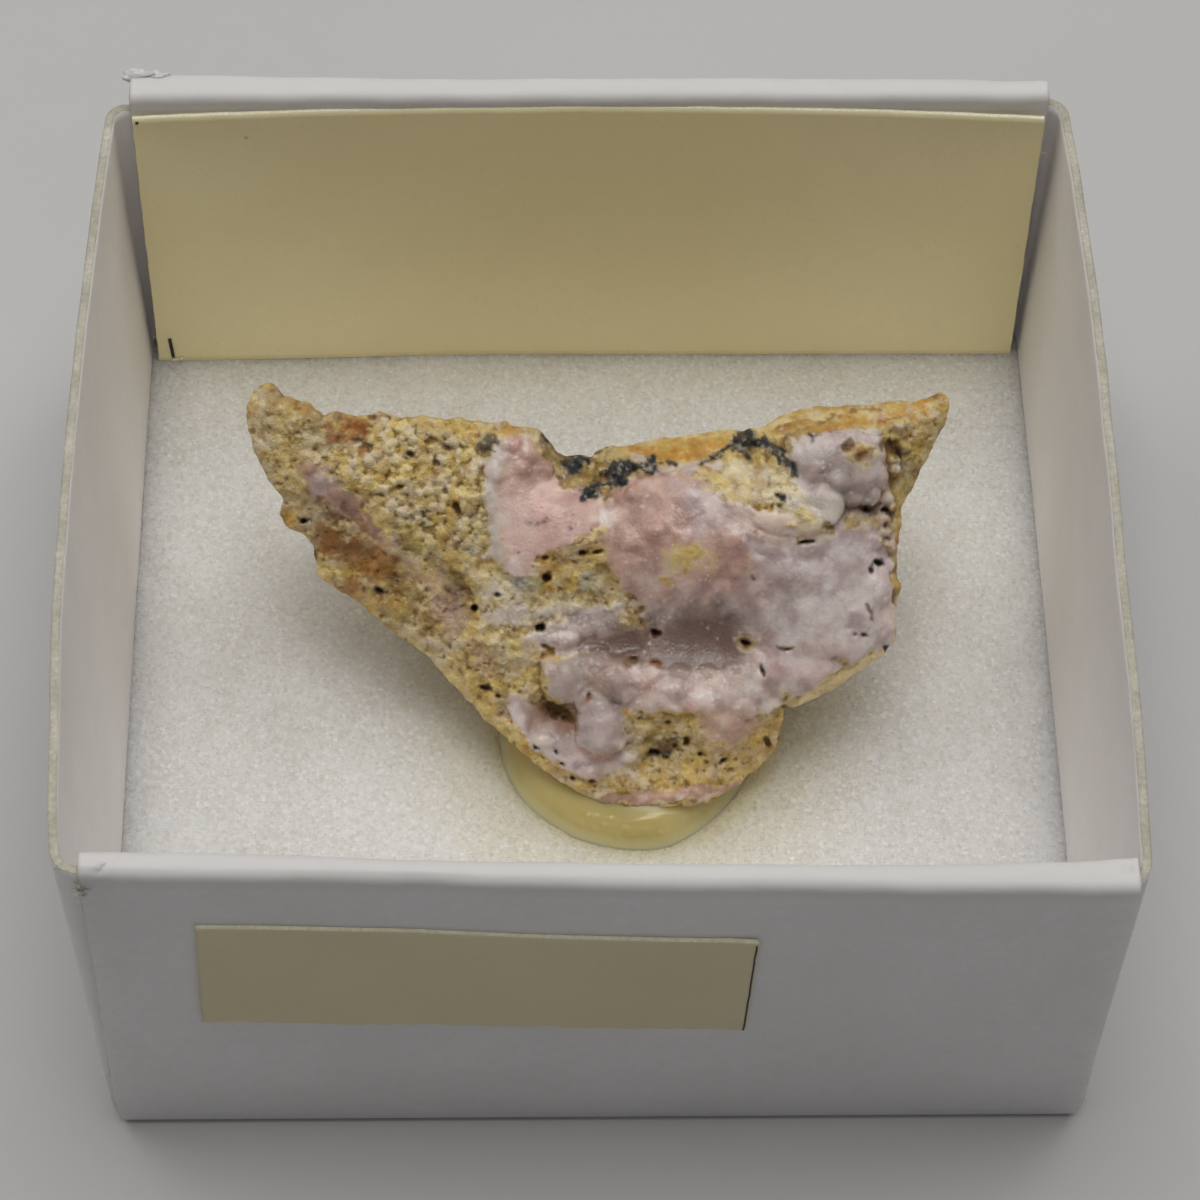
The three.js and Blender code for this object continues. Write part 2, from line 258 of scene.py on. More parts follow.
# ---------------------------------------------------------------- materials
class Nodes:
    """A short way to write a node material."""

    def __init__(self, name):
        self.mat = bpy.data.materials.new(name)
        self.mat.use_nodes = True
        self.tree = self.mat.node_tree
        self.shader = self.tree.nodes["Principled BSDF"]
        self.coords = self.tree.nodes.new("ShaderNodeTexCoord").outputs["Object"]

    def put(self, socket, value):
        if isinstance(value, bpy.types.NodeSocket):
            self.tree.links.new(value, socket)
        elif isinstance(value, tuple) and len(value) == 3 and socket.type == "RGBA":
            socket.default_value = (*value, 1)
        else:
            socket.default_value = value

    def add(self, kind, out=0, inputs=(), **settings):
        node = self.tree.nodes.new("ShaderNode" + kind)
        for key, value in settings.items():
            setattr(node, key, value)
        for key, value in dict(inputs).items():
            self.put(node.inputs[key], value)
        return node.outputs[out]

    def noise(self, scale, detail=3, rough=0.5, out="Fac", warp=0.0, vector=None):
        wanted = {"Vector": vector or self.coords, "Scale": scale, "Detail": detail}
        wanted.update({"Roughness": rough, "Distortion": warp})
        return self.add("TexNoise", out, wanted)

    def voronoi(self, scale, out="Distance", feature="F1"):
        wanted = {"Vector": self.coords, "Scale": scale, "Randomness": 1.0}
        return self.add("TexVoronoi", out, wanted, feature=feature)

    def math(self, operation, a, b=0.0, clamp=False):
        return self.add("Math", 0, {0: a, 1: b}, operation=operation, use_clamp=clamp)

    def span(self, value, a, b, c=0.0, d=1.0):
        wanted = {"Value": value, "From Min": a, "From Max": b, "To Min": c, "To Max": d}
        return self.add("MapRange", 0, wanted)

    def blend(self, share, a, b, how="MIX"):
        node = self.tree.nodes.new("ShaderNodeMix")
        node.data_type = "RGBA"
        node.blend_type = how
        self.put(node.inputs["Factor"], share)
        self.put(node.inputs["A"], a)
        self.put(node.inputs["B"], b)
        return node.outputs["Result"]

    def read(self, name, out="Color"):
        return self.add("Attribute", out, attribute_name=name)

    def bump(self, height, distance, strength=1.0, normal=None):
        wanted = {"Height": height, "Distance": distance, "Strength": strength}
        if normal is not None:
            wanted["Normal"] = normal
        return self.add("Bump", 0, wanted)

    def done(self, **inputs):
        for key, value in inputs.items():
            self.put(self.shader.inputs[key.replace("_", " ")], value)
        return self.mat


# ---------------------------------------------------------------- stone
CENTRE = np.array([0.2, -0.8, 9.9])
RISE = math.radians(52)
ALONG = np.array([1.0, 0.0, 0.0])
UP_FACE = np.array([0.0, math.sin(RISE), math.cos(RISE)])
OUT_OF_FACE = np.array([0.0, -math.cos(RISE), math.sin(RISE)])
SEAT, SUNK = 4.6, 0.5
PX_PER_MM = 24.17
CELL, QUICK_CELL = 0.08, 0.13
STONE_TRIANGLES = 190000

OUTLINE = [
    (264.7, 382.5), (272.3, 385.2), (284.2, 396), (300.5, 402.5), (310.2, 403.6), (316.7, 413.4),
    (323.2, 417.7), (336.2, 411.2), (354.7, 415.5), (370.9, 412.8), (381.8, 412.3), (396.3, 419),
    (421.2, 415.2), (436.4, 419.6), (458, 418), (472.1, 421.2), (488.4, 423.9), (505.8, 420.1),
    (513.3, 428.8), (524.2, 426), (536.1, 428.2), (543, 433), (550, 441), (557, 451), (566, 456),
    (578, 455), (591.6, 455.5), (598, 450), (614.3, 442.5), (639.3, 439.3), (661, 432.8), (689, 431.7),
    (720, 429.3), (745, 430.4), (758, 428.2), (766.7, 423.9), (784, 415.2), (798.2, 410.3), (820.9, 406),
    (843.4, 405), (869.4, 404.4), (892.1, 400.6), (913.8, 400.6), (925.8, 396.8), (940.9, 389.8),
    (948.5, 395.2), (950.7, 410.4), (950.2, 421.7), (943.1, 434.2), (936.6, 454.8), (930.1, 466.7),
    (920.3, 484.1), (913.8, 498.2), (904.1, 510.1), (900.8, 531.8), (896.7, 553.3), (896.7, 575.7),
    (901.8, 587), (896.7, 598.2), (895.3, 620.6), (892.5, 640.3), (878, 657), (842, 682.5), (809, 701),
    (784.3, 707.5), (777.5, 755.8), (761.4, 776.4), (738.4, 792.5), (715.5, 804), (669.6, 807.4),
    (628.2, 809.7), (600.7, 804), (568.6, 787.9), (538.7, 767.2), (508.9, 742), (490.5, 725.9),
    (467.5, 703), (447.8, 684.4), (424.8, 660.5), (404.2, 645.3), (387.9, 636.6), (377.1, 624.7),
    (364.1, 614.9), (354.3, 604.1), (335.9, 594.3), (320.7, 583.5), (314.2, 574.8), (311, 561.8),
    (311, 548.8), (303.4, 536.9), (283.9, 526), (278.8, 515.3), (282.6, 500.1), (282, 496.3),
    (267.9, 481.7), (261.4, 467.6), (255.5, 454.6), (251.1, 444.8), (246.3, 424.2), (245.2, 405.8),
    (251.7, 389.5),
]

# Broad heights of the face in millimetres, above the plane of its middle.
HEIGHTS = [
    (255, 395, -0.5), (270, 400, 0.1), (280, 430, 0.4), (300, 455, 0.4), (262, 440, -0.3), (285, 490, 0.0),
    (295, 515, -0.5), (350, 418, 0.0), (420, 420, 0.0), (480, 430, 0.3), (360, 450, 0.5), (420, 480, 0.35),
    (460, 520, 0.3), (320, 478, 0.6), (372, 530, 0.3), (330, 550, -0.7), (385, 590, -0.7), (325, 580, -1.1),
    (430, 575, -0.2), (455, 600, -0.5), (420, 630, -0.7), (400, 640, -1.2), (445, 675, -1.2),
    (475, 660, -0.3), (500, 600, 0.6), (495, 560, 0.7), (530, 510, 1.1), (500, 470, 0.8), (540, 450, 0.3),
    (575, 500, 0.9), (570, 465, -0.6), (620, 470, -0.5), (590, 495, 0.2), (660, 520, 1.5), (700, 500, 1.5),
    (620, 520, 1.0), (720, 570, 1.6), (640, 580, 1.1), (680, 480, 0.9), (770, 480, 1.4), (740, 450, 0.2),
    (822, 510, 1.6), (835, 455, 1.6), (790, 440, 0.6), (820, 600, 1.5), (860, 620, 1.2), (780, 590, 1.6),
    (885, 600, 0.5), (885, 640, 0.2), (840, 660, 0.7), (715, 640, 0.1), (640, 640, 0.1), (600, 646, 0.1),
    (560, 650, 0.3), (560, 600, 0.5), (520, 620, 0.5), (760, 640, 0.8), (700, 695, 0.9), (740, 700, 0.8),
    (660, 695, 0.8), (790, 690, 0.6), (720, 745, 0.3), (565, 680, 0.7), (610, 680, 0.7), (597, 725, 0.6),
    (555, 712, -0.7), (540, 745, -0.2), (580, 768, -0.1), (525, 700, -0.1), (660, 750, -0.5),
    (640, 780, -0.5), (720, 770, -0.6), (765, 745, -0.9), (690, 797, -0.1), (620, 800, -0.4),
    (480, 700, -0.5), (510, 735, -0.6), (550, 775, -0.6), (895, 450, 0.0), (920, 430, -0.5),
    (940, 400, -0.5), (930, 460, -1.3), (905, 500, -0.9), (880, 412, 0.6), (700, 447, 0.0), (800, 422, 0.5),
    (640, 452, -0.5), (880, 480, 0.7), (895, 530, -0.1),
]

# Crusts that stand above what is round them: outline, thickness and radius of the rounded rim.
SHEETS = [
    ([(490, 455), (500, 440), (512, 432), (530, 436), (543, 448), (556, 462), (575, 470), (590, 480),
        (604, 492), (606, 520), (600, 543), (575, 556), (550, 568), (520, 586), (505, 578), (494, 555),
        (489, 530), (482, 505), (479, 480)], 0.28, 16),
    ([(603, 502), (622, 484), (642, 476), (700, 470), (745, 458), (800, 465), (835, 500), (880, 520),
        (888, 560), (888, 636), (862, 655), (830, 670), (800, 686), (776, 704), (752, 716), (728, 728),
        (704, 728), (690, 716), (640, 712), (625, 705), (610, 690), (560, 690), (546, 674), (556, 662),
        (590, 655), (640, 650), (655, 625), (640, 600), (618, 590), (606, 560), (602, 540)], 0.22, 18),
    ([(740, 500), (750, 478), (770, 468), (800, 466), (836, 482), (842, 512), (830, 527), (814, 539),
        (794, 541), (764, 532)], 0.36, 30),
]

# Lobes: x, y, radius across, radius up, rise above the broad height there.
LOBES = [
    (834, 462, 48, 38, 0.85), (805, 450, 20, 17, 0.75), (826, 446, 16, 13, 0.95), (845, 444, 18, 14, 0.9),
    (868, 452, 19, 18, 0.75), (820, 468, 16, 13, 0.9), (838, 480, 17, 15, 0.85), (858, 478, 20, 18, 0.95),
    (874, 474, 13, 15, 0.7), (850, 494, 15, 12, 0.6), (866, 494, 16, 13, 0.45), (812, 463, 11, 9, 0.75),
    (826, 502, 19, 18, 0.46), (820, 496, 14, 13, 0.4), (824, 514, 14, 11, 0.34), (808, 517, 20, 14, 0.14),
    (776, 520, 26, 14, 0.12), (742, 512, 24, 18, 0.12), (790, 470, 26, 20, 0.2), (562, 678, 22, 22, 0.42),
    (572, 690, 18, 15, 0.4), (556, 664, 14, 12, 0.24), (611, 680, 20, 20, 0.44), (622, 692, 13, 11, 0.25),
    (600, 668, 15, 10, 0.18), (584, 662, 12, 8, 0.15), (652, 675, 13, 10, 0.09), (679, 672, 13, 10, 0.1),
    (705, 675, 12, 9, 0.08), (733, 673, 13, 10, 0.09), (762, 677, 13, 10, 0.1), (788, 669, 12, 9, 0.08),
    (594, 704, 19, 18, 0.46), (600, 724, 22, 22, 0.56), (600, 738, 22, 16, 0.52), (587, 739, 12, 12, 0.46),
    (613, 741, 12, 12, 0.44), (586, 720, 10, 14, 0.4), (560, 690, 16, 14, 0.3), (622, 680, 9, 14, 0.26),
    (646, 684, 18, 12, 0.12), (664, 694, 15, 12, 0.14), (684, 690, 15, 11, 0.12), (700, 702, 17, 12, 0.15),
    (722, 694, 16, 13, 0.13), (740, 706, 16, 13, 0.2), (757, 692, 15, 11, 0.12), (676, 707, 13, 8, 0.12),
    (728, 720, 16, 11, 0.1), (742, 722, 11, 9, 0.1), (768, 702, 14, 10, 0.14), (800, 668, 30, 18, 0.12),
    (841, 640, 34, 24, 0.12), (872, 590, 20, 22, 0.2), (884, 626, 14, 18, 0.2), (889, 546, 8, 8, 0.3),
    (880, 520, 9, 8, 0.32), (873, 541, 9, 8, 0.25), (886, 498, 8, 7, 0.35), (879, 487, 7, 6, 0.35),
    (893, 470, 7, 7, 0.35), (884, 566, 10, 8, 0.25), (893, 583, 7, 10, 0.25), (899, 424, 8, 7, 0.4),
    (903, 446, 7, 6, 0.35), (893, 459, 7, 6, 0.35), (890, 508, 7, 6, 0.3), (884, 532, 7, 6, 0.3),
    (598, 583, 12, 13, 0.12), (528, 582, 10, 9, 0.12), (575, 606, 12, 8, 0.14), (548, 608, 10, 8, 0.12),
    (505, 600, 12, 10, 0.14), (560, 640, 22, 10, 0.14), (594, 648, 16, 7, 0.12), (520, 640, 18, 10, 0.16),
    (497, 640, 13, 11, 0.18), (536, 612, 8, 6, 0.12), (612, 606, 9, 6, 0.12), (560, 622, 9, 6, 0.12),
    (588, 772, 12, 7, 0.25), (546, 740, 12, 8, 0.25), (522, 716, 11, 17, 0.2), (640, 749, 8, 6, 0.22),
    (628, 757, 9, 6, 0.2), (497, 472, 13, 18, 0.16), (488, 492, 8, 12, 0.12), (512, 446, 12, 9, 0.22),
    (528, 455, 12, 12, 0.2), (540, 472, 12, 10, 0.14), (520, 470, 12, 10, 0.14), (566, 486, 14, 8, 0.14),
    (606, 473, 12, 9, 0.26), (488, 444, 9, 9, 0.2), (580, 458, 9, 9, 0.26), (642, 465, 9, 7, 0.22),
    (752, 440, 15, 8, 0.2), (630, 480, 12, 8, 0.14), (650, 474, 12, 7, 0.14), (672, 473, 12, 7, 0.12),
    (694, 474, 12, 8, 0.12), (716, 486, 12, 10, 0.1), (612, 508, 7, 12, 0.14), (640, 498, 16, 12, 0.1),
    (690, 500, 20, 14, 0.1), (716, 520, 18, 14, 0.1), (660, 530, 20, 16, 0.08), (630, 540, 16, 16, 0.08),
    (648, 470, 6, 5, 0.15), (322, 478, 9, 8, 0.15), (336, 492, 9, 8, 0.12), (310, 466, 9, 8, 0.15),
]

# Places where the crust is smooth instead of finely botryoidal: x, y, radius across and up.
SMOOTH = [
    (545, 520, 48, 46), (834, 464, 40, 34), (598, 728, 24, 30), (545, 735, 40, 30), (770, 522, 44, 12),
    (824, 508, 16, 14), (566, 682, 20, 18), (612, 682, 16, 16), (330, 490, 40, 30), (652, 640, 74, 20),
    (706, 646, 42, 26),
]

# Hollows: x, y, radius across, radius up, turn in degrees, depth.
HOLES = [
    (590, 677, 5, 14, 0, 0.08), (584, 702, 12, 4, -25, 0.11), (614, 701, 10, 4, 25, 0.11),
    (656, 632, 6, 4, 0, 0.6), (747, 643, 10, 8.5, 0, 0.1), (747, 643, 5, 4, 0, 0.5),
    (540, 628, 6, 5, 20, 0.7), (544, 645, 4, 2.5, 20, 0.3), (634, 660, 6, 3, 15, 0.2),
    (655, 663, 6, 2, 10, 0.2), (588.5, 695.5, 3, 4, 0, 0.22), (547, 577, 5, 6, 10, 0.5),
    (556, 574, 9, 7, 0, 0.04), (545, 558, 5, 3, -15, 0.25), (583, 552, 5, 3, 0, 0.35),
    (597, 553, 6, 2, 0, 0.3), (761, 670, 2, 5, -20, 0.2), (785, 650, 7, 1.6, 20, 0.15),
    (878, 563, 5, 3, 25, 0.45), (871, 571, 2.5, 4, 0, 0.3), (868, 611, 2, 7, -20, 0.15),
    (805, 543, 10, 1.8, -12, 0.35), (895, 448, 7, 9, 20, 0.22), (866, 508, 5, 3.5, 0, 0.4),
    (885, 511, 5, 3, 0, 0.4), (884, 524, 3, 3, 0, 0.3), (820, 472, 4, 2.6, 0, 0.12),
    (847, 447, 5, 5, 0, 0.15), (860, 457, 7, 6, 0, 0.12), (474, 609, 4.5, 4, 0, 0.6),
    (303, 521, 4, 3.5, 0, 0.45), (410, 453, 4.5, 3.5, 0, 0.3), (457, 508, 4, 7, -30, 0.3),
    (378, 589, 6, 3, 30, 0.35), (420, 470, 3, 3, 0, 0.2), (554, 708, 20, 8, 27, 0.3),
    (568, 717, 8, 7, 50, 0.24), (546, 706, 13, 7, 10, 0.12), (668, 747, 22, 8, -18, 0.22),
    (655, 752, 6, 3, 20, 0.35), (675, 747, 5, 3, -30, 0.35), (686, 741, 4, 5, 20, 0.35),
    (664, 757, 5, 2.5, 10, 0.3), (700, 753, 3, 3, 0, 0.3), (724, 760, 5, 3, -35, 0.25),
    (536, 747, 2.5, 2.5, 0, 0.3), (555, 751, 2, 3, 0, 0.3), (563, 764, 2, 2, 0, 0.3),
    (572, 778, 2.5, 2, 0, 0.25), (592, 781, 5, 2, 0, 0.2), (487, 690, 7, 3, 20, 0.35),
    (497, 697, 4, 3, 20, 0.3), (440, 562, 16, 3, 38, 0.1), (457, 577, 12, 5, 40, 0.16),
    (468, 593, 5, 14, -18, 0.16), (767, 742, 4, 10, -15, 0.3), (498, 595, 4, 2.5, 0, 0.25),
    (880, 445, 4, 9, 0, 0.3), (593, 494, 10, 5, 10, 0.25), (779, 497, 4, 3, 0, 0.2),
    (778, 506, 2.5, 2, 0, 0.15), (854, 633, 2.5, 2, 0, 0.15), (865, 635, 3, 2.5, 0, 0.2),
    (885, 647, 3.5, 2.5, 0, 0.25), (574, 563, 4, 2.5, 0, 0.2), (786, 707, 5, 2.5, 30, 0.2),
    (314, 560, 3, 7, 0, 0.25), (372, 418, 5, 3, 0, 0.2), (430, 440, 8, 4, 0, 0.2),
    (446, 446, 6, 3, 20, 0.2), (400, 486, 5, 3, 20, 0.2), (390, 448, 3, 3, 0, 0.2),
    (437, 462, 4, 3, 0, 0.2), (446, 492, 3, 4, 0, 0.2), (519, 766, 2, 2, 0, 0.2), (708, 762, 3, 2, 0, 0.2),
    (742, 764, 3, 2, 0, 0.2), (640, 718, 4, 2, 0, 0.2), (668, 724, 5, 2, 0, 0.2),
]

# The darkest of these mauves is used only as painted shade, in the dark recess and under the bulb.
COLOURS = {
    "pink": (0.74, 0.49, 0.44), "pale pink": (0.77, 0.59, 0.54), "rose": (0.52, 0.335, 0.285),
    "deep rose": (0.47, 0.295, 0.25), "lavender": (0.58, 0.485, 0.49), "pale lavender": (0.69, 0.61, 0.6),
    "lobe grey": (0.39, 0.315, 0.295), "ledge": (0.48, 0.375, 0.345), "painted shade mauve": (0.19, 0.128, 0.108),
    "mauve": (0.38, 0.235, 0.19), "cream": (0.82, 0.7, 0.42), "white": (0.8, 0.75, 0.66),
    "ochre": (0.66, 0.46, 0.14), "yellow": (0.78, 0.54, 0.13), "orange": (0.66, 0.34, 0.07),
    "red": (0.3, 0.095, 0.018), "rust": (0.23, 0.095, 0.02), "tan": (0.6, 0.46, 0.22),
    "olive": (0.34, 0.26, 0.1), "green grey": (0.42, 0.41, 0.28), "blue green": (0.54, 0.57, 0.48),
    "brown": (0.16, 0.085, 0.03), "black": (0.008, 0.009, 0.013), "pink tan": (0.5, 0.35, 0.24),
    "matrix": (0.7, 0.53, 0.2),
}

# The broken face at the lower right, under the crust.
CUT_FACE = [
    (796, 710), (801, 699), (820, 680), (840, 669), (863, 658), (886, 649), (896, 636), (900, 650),
    (884, 664), (842, 692), (812, 710),
]

# What lies where, painted in this order: colour, kind, shape, softness, wander, strength, crust.
# crust is 1 where the smooth translucent crust is, 0 on porous matrix, None to leave it.
ZONES = [
    # The left end and the drusy wing.
    ("tan", "area", [(240, 380), (345, 400), (345, 470), (310, 500), (270, 500),
        (240, 440)], 12, 8, 0.9, 0),
    ("cream", "spot", (264, 398, 14, 10), 10, 6, 0.5, 0),
    ("cream", "spot", (305, 445, 14, 12), 10, 8, 0.5, 0),
    ("cream", "spot", (272, 440, 12, 16), 10, 8, 0.35, 0),
    ("ochre", "spot", (286, 408, 16, 8), 8, 6, 0.6, 0), ("orange", "spot", (251, 412, 5, 8), 6, 4, 0.7, 0),
    ("orange", "spot", (304, 410, 12, 5), 6, 4, 0.7, 0),
    ("matrix", "area", [(340, 410), (490, 420), (488, 470), (478, 520), (500, 600), (470, 590), (430, 560),
        (385, 520), (340, 480)], 10, 6, 0.9, 0),
    ("cream", "spot", (430, 440, 46, 14), 16, 10, 0.35, 0),
    ("cream", "spot", (450, 505, 26, 34), 18, 10, 0.55, 0),
    ("cream", "spot", (412, 524, 34, 11), 14, 10, 0.3, 0),
    ("olive", "spot", (400, 452, 44, 12), 18, 14, 0.25, 0),
    ("olive", "spot", (400, 520, 30, 14), 14, 10, 0.45, 0),
    ("green grey", "spot", (440, 556, 34, 12), 14, 8, 0.5, 0),
    ("cream", "line", [(420, 545), (462, 560), (490, 590)], 8, 8, 0.4, 0),
    ("rust", "spot", (352, 428, 24, 14), 12, 10, 0.5, 0),
    ("red", "spot", (352, 430, 22, 13), 12, 9, 0.9, 0), ("orange", "spot", (375, 416, 18, 6), 8, 6, 0.6, 0),
    ("red", "spot", (362, 452, 9, 10), 8, 6, 0.85, 0), ("brown", "spot", (372, 434, 8, 8), 6, 6, 0.45, 0),
    ("white", "spot", (374, 420, 6, 5), 4, 4, 0.6, 0), ("white", "spot", (388, 424, 7, 5), 5, 4, 0.4, 0),
    ("orange", "spot", (470, 434, 9, 8), 6, 4, 0.85, 0),
    ("yellow", "spot", (430, 424, 34, 6), 8, 6, 0.5, 0), ("rust", "spot", (457, 508, 6, 9), 5, 4, 0.8, 0),
    ("rust", "spot", (430, 470, 5, 5), 5, 4, 0.5, 0),
    ("pink tan", "spot", (462, 474, 8, 10), 8, 6, 0.6, 0.4),
    ("pink tan", "spot", (438, 482, 6, 6), 6, 5, 0.6, 0.3),
    ("pale lavender", "spot", (447, 488, 5, 5), 5, 4, 0.6, 0.3),
    # The mauve streak across the wing.
    ("mauve", "area", [(302, 460), (318, 462), (346, 488), (362, 506), (352, 522), (330, 512),
        (306, 494)], 9, 8, 0.9, 0.8),
    ("mauve", "line", [(335, 494), (360, 520), (388, 546)], 17, 8, 0.9, 0.7),
    ("rust", "line", [(340, 508), (364, 530), (392, 556)], 6, 6, 0.4, 0.3),
    ("rust", "spot", (361, 522, 12, 13), 8, 7, 0.4, 0.5),
    ("lavender", "spot", (322, 482, 11, 8), 10, 6, 0.55, 0.8),
    ("lavender", "spot", (318, 496, 9, 5), 8, 5, 0.5, 0.7),
    # The white dot here is a painted glint.
    ("white", "spot", (330, 481, 3, 3), 3, 2, 0.9, 0.8),
    ("mauve", "spot", (302, 466, 7, 10), 6, 5, 0.5, 0.6),
    ("olive", "line", [(296, 480), (320, 505), (350, 526)], 6, 8, 0.5, 0),
    ("red", "line", [(318, 498), (336, 514), (346, 520)], 5, 5, 0.5, 0.4),
    ("blue green", "line", [(362, 506), (380, 514)], 5, 5, 0.4, 0),
    ("green grey", "line", [(384, 508), (420, 530), (470, 556)], 12, 8, 0.5, 0),
    ("olive", "line", [(400, 548), (432, 560), (462, 574)], 6, 6, 0.6, 0),
    ("tan", "line", [(388, 530), (420, 548), (450, 566)], 8, 8, 0.5, 0),
    ("pink tan", "line", [(386, 543), (410, 566), (440, 592), (450, 620)], 16, 10, 0.6, 0.4),
    # The rusty lower edge of the wing.
    ("ochre", "area", [(284, 512), (318, 522), (350, 540), (398, 572), (402, 604), (372, 620), (334, 600),
        (314, 578), (300, 545)], 10, 8, 0.6, 0),
    ("rust", "area", [(318, 520), (346, 534), (400, 562), (404, 584), (368, 580), (330, 562),
        (310, 545)], 14, 12, 0.85, 0),
    ("red", "spot", (342, 546, 20, 9), 12, 9, 0.6, 0), ("red", "spot", (382, 566, 18, 9), 10, 8, 0.6, 0),
    ("tan", "line", [(330, 560), (362, 576), (392, 592)], 8, 8, 0.4, 0),
    ("orange", "spot", (384, 566, 10, 8), 8, 6, 0.6, 0), ("red", "spot", (352, 586, 12, 9), 8, 6, 0.8, 0),
    ("ochre", "spot", (335, 575, 14, 10), 8, 6, 0.6, 0), ("orange", "spot", (286, 516, 7, 9), 8, 4, 0.6, 0),
    ("black", "spot", (316, 553, 4, 7), 4, 4, 0.9, 0), ("white", "spot", (317, 574, 4, 3), 3, 2, 0.9, 0),
    ("black", "spot", (378, 589, 6, 3.5), 4, 3, 0.85, 0),
    ("lavender", "spot", (313, 566, 4, 6), 4, 3, 0.6, 0.3),
    # The lower left slope.
    ("tan", "area", [(360, 610), (400, 605), (440, 600), (480, 640), (492, 700), (450, 690),
        (400, 650)], 8, 6, 0.7, 0),
    ("cream", "line", [(388, 632), (415, 646), (446, 672), (470, 696)], 12, 6, 0.5, 0),
    ("blue green", "spot", (438, 646, 12, 8), 8, 6, 0.45, 0.1),
    ("rust", "spot", (425, 634, 12, 4), 6, 5, 0.5, 0),
    ("pink tan", "spot", (440, 596, 20, 24), 14, 8, 0.8, 0.5),
    ("mauve", "spot", (432, 646, 12, 9), 8, 6, 0.6, 0.4),
    ("cream", "spot", (470, 640, 22, 16), 14, 10, 0.55, 0),
    ("cream", "spot", (410, 636, 14, 9), 10, 8, 0.5, 0), ("olive", "spot", (452, 586, 8, 20), 8, 7, 0.6, 0),
    ("rust", "spot", (464, 598, 6, 14), 6, 5, 0.45, 0),
    ("olive", "area", [(392, 575), (430, 590), (446, 622), (430, 632), (398, 618),
        (380, 596)], 14, 10, 0.6, 0),
    # The brown along the crevice is partly painted shade.
    ("brown", "line", [(430, 560), (452, 574), (468, 592), (474, 614)], 7, 7, 0.5, 0),
    ("mauve", "spot", (440, 604, 12, 20), 10, 8, 0.5, 0.4),
    ("pink tan", "spot", (456, 624, 14, 18), 12, 8, 0.6, 0.3),
    ("mauve", "spot", (450, 614, 15, 24), 10, 8, 0.4, 0.4),
    ("rust", "spot", (472, 648, 12, 12), 10, 8, 0.5, 0.1),
    ("olive", "spot", (420, 622, 16, 7), 8, 7, 0.5, 0),
    ("pink tan", "spot", (484, 664, 14, 12), 12, 8, 0.6, 0.2),
    ("ochre", "spot", (480, 690, 26, 10), 12, 8, 0.5, 0),
    ("ochre", "spot", (527, 760, 15, 7), 8, 6, 0.5, 0.1),
    ("green grey", "spot", (496, 664, 9, 6), 6, 5, 0.5, 0.2),
    # The porous belt under the pink crust.
    ("cream", "area", [(478, 575), (500, 575), (560, 590), (640, 590), (655, 625), (620, 640), (560, 632),
        (505, 625), (482, 610)], 8, 8, 0.85, 0.3),
    ("blue green", "spot", (484, 547, 11, 14), 8, 6, 0.7, 0.4),
    ("pale lavender", "spot", (492, 590, 12, 9), 8, 6, 0.55, 0.5),
    ("pale lavender", "spot", (512, 618, 26, 9), 10, 7, 0.6, 0.6),
    ("pale lavender", "spot", (560, 612, 40, 8), 8, 7, 0.55, 0.6),
    ("ochre", "spot", (540, 603, 10, 5), 6, 5, 0.5, 0.1),
    ("pale lavender", "area", [(482, 460), (500, 440), (506, 470), (500, 520), (503, 560), (490, 560),
        (482, 520)], 10, 7, 0.8, 0.8),
    ("cream", "line", [(478, 470), (480, 510), (488, 545)], 8, 7, 0.6, 0.2),
    # The pink crust left of the col.
    ("pink", "area", [(506, 438), (530, 436), (545, 450), (556, 464), (590, 480), (603, 492), (606, 520),
        (596, 545), (560, 560), (520, 584), (507, 570), (499, 520), (501, 480)], 9, 5, 1.0, 1),
    ("pale pink", "spot", (518, 512, 16, 34), 20, 7, 0.55, 1),
    ("rose", "spot", (524, 462, 20, 18), 12, 7, 0.8, 1),
    ("mauve", "spot", (540, 462, 10, 18), 8, 5, 0.5, 1),
    ("lobe grey", "spot", (504, 462, 9, 13), 8, 5, 0.5, 1),
    ("mauve", "spot", (524, 470, 5, 8), 5, 4, 0.4, 1), ("rose", "spot", (580, 505, 20, 18), 16, 8, 0.55, 1),
    ("white", "spot", (504, 518, 7, 6), 7, 3, 0.5, 1), ("rose", "spot", (514, 482, 20, 16), 12, 6, 0.8, 1),
    ("mauve", "spot", (530, 466, 15, 14), 12, 6, 0.5, 1),
    ("pale pink", "line", [(500, 540), (512, 566)], 12, 5, 0.4, 1),
    # The white dot at (528, 446) is a painted glint.
    ("orange", "spot", (514, 430, 9, 4), 5, 3, 0.8, 0.5), ("white", "spot", (528, 446, 3, 4), 2, 2, 0.7, 1),
    ("white", "spot", (556, 489, 6, 2), 2, 2, 0.6, 1),
    # The col.
    ("olive", "area", [(540, 436), (560, 450), (590, 458), (625, 446), (640, 460), (620, 482), (590, 492),
        (570, 478), (552, 462)], 6, 4, 0.9, 0),
    ("brown", "line", [(556, 446), (572, 462), (580, 478), (596, 480)], 9, 6, 0.55, 0),
    ("tan", "spot", (575, 480, 14, 5), 8, 5, 0.6, 0),
    ("olive", "line", [(548, 452), (556, 470), (566, 482)], 8, 5, 0.7, 0.3),
    ("brown", "spot", (548, 444, 9, 7), 6, 5, 0.5, 0.3), ("ochre", "spot", (604, 466, 14, 5), 6, 4, 0.5, 0),
    # The rose crust in the middle.
    ("rose", "area", [(600, 500), (622, 484), (645, 474), (700, 470), (735, 480), (750, 510), (750, 560),
        (735, 600), (670, 610), (625, 600), (608, 560), (598, 530)], 12, 6, 1.0, 1),
    ("pink", "spot", (655, 488, 30, 12), 16, 8, 0.15, 1),
    ("lavender", "spot", (700, 508, 36, 26), 22, 9, 0.75, 1),
    ("deep rose", "spot", (652, 516, 38, 24), 18, 8, 0.9, 1),
    ("mauve", "spot", (650, 520, 26, 16), 18, 8, 0.5, 1),
    ("rose", "spot", (640, 560, 26, 30), 22, 8, 0.8, 1),
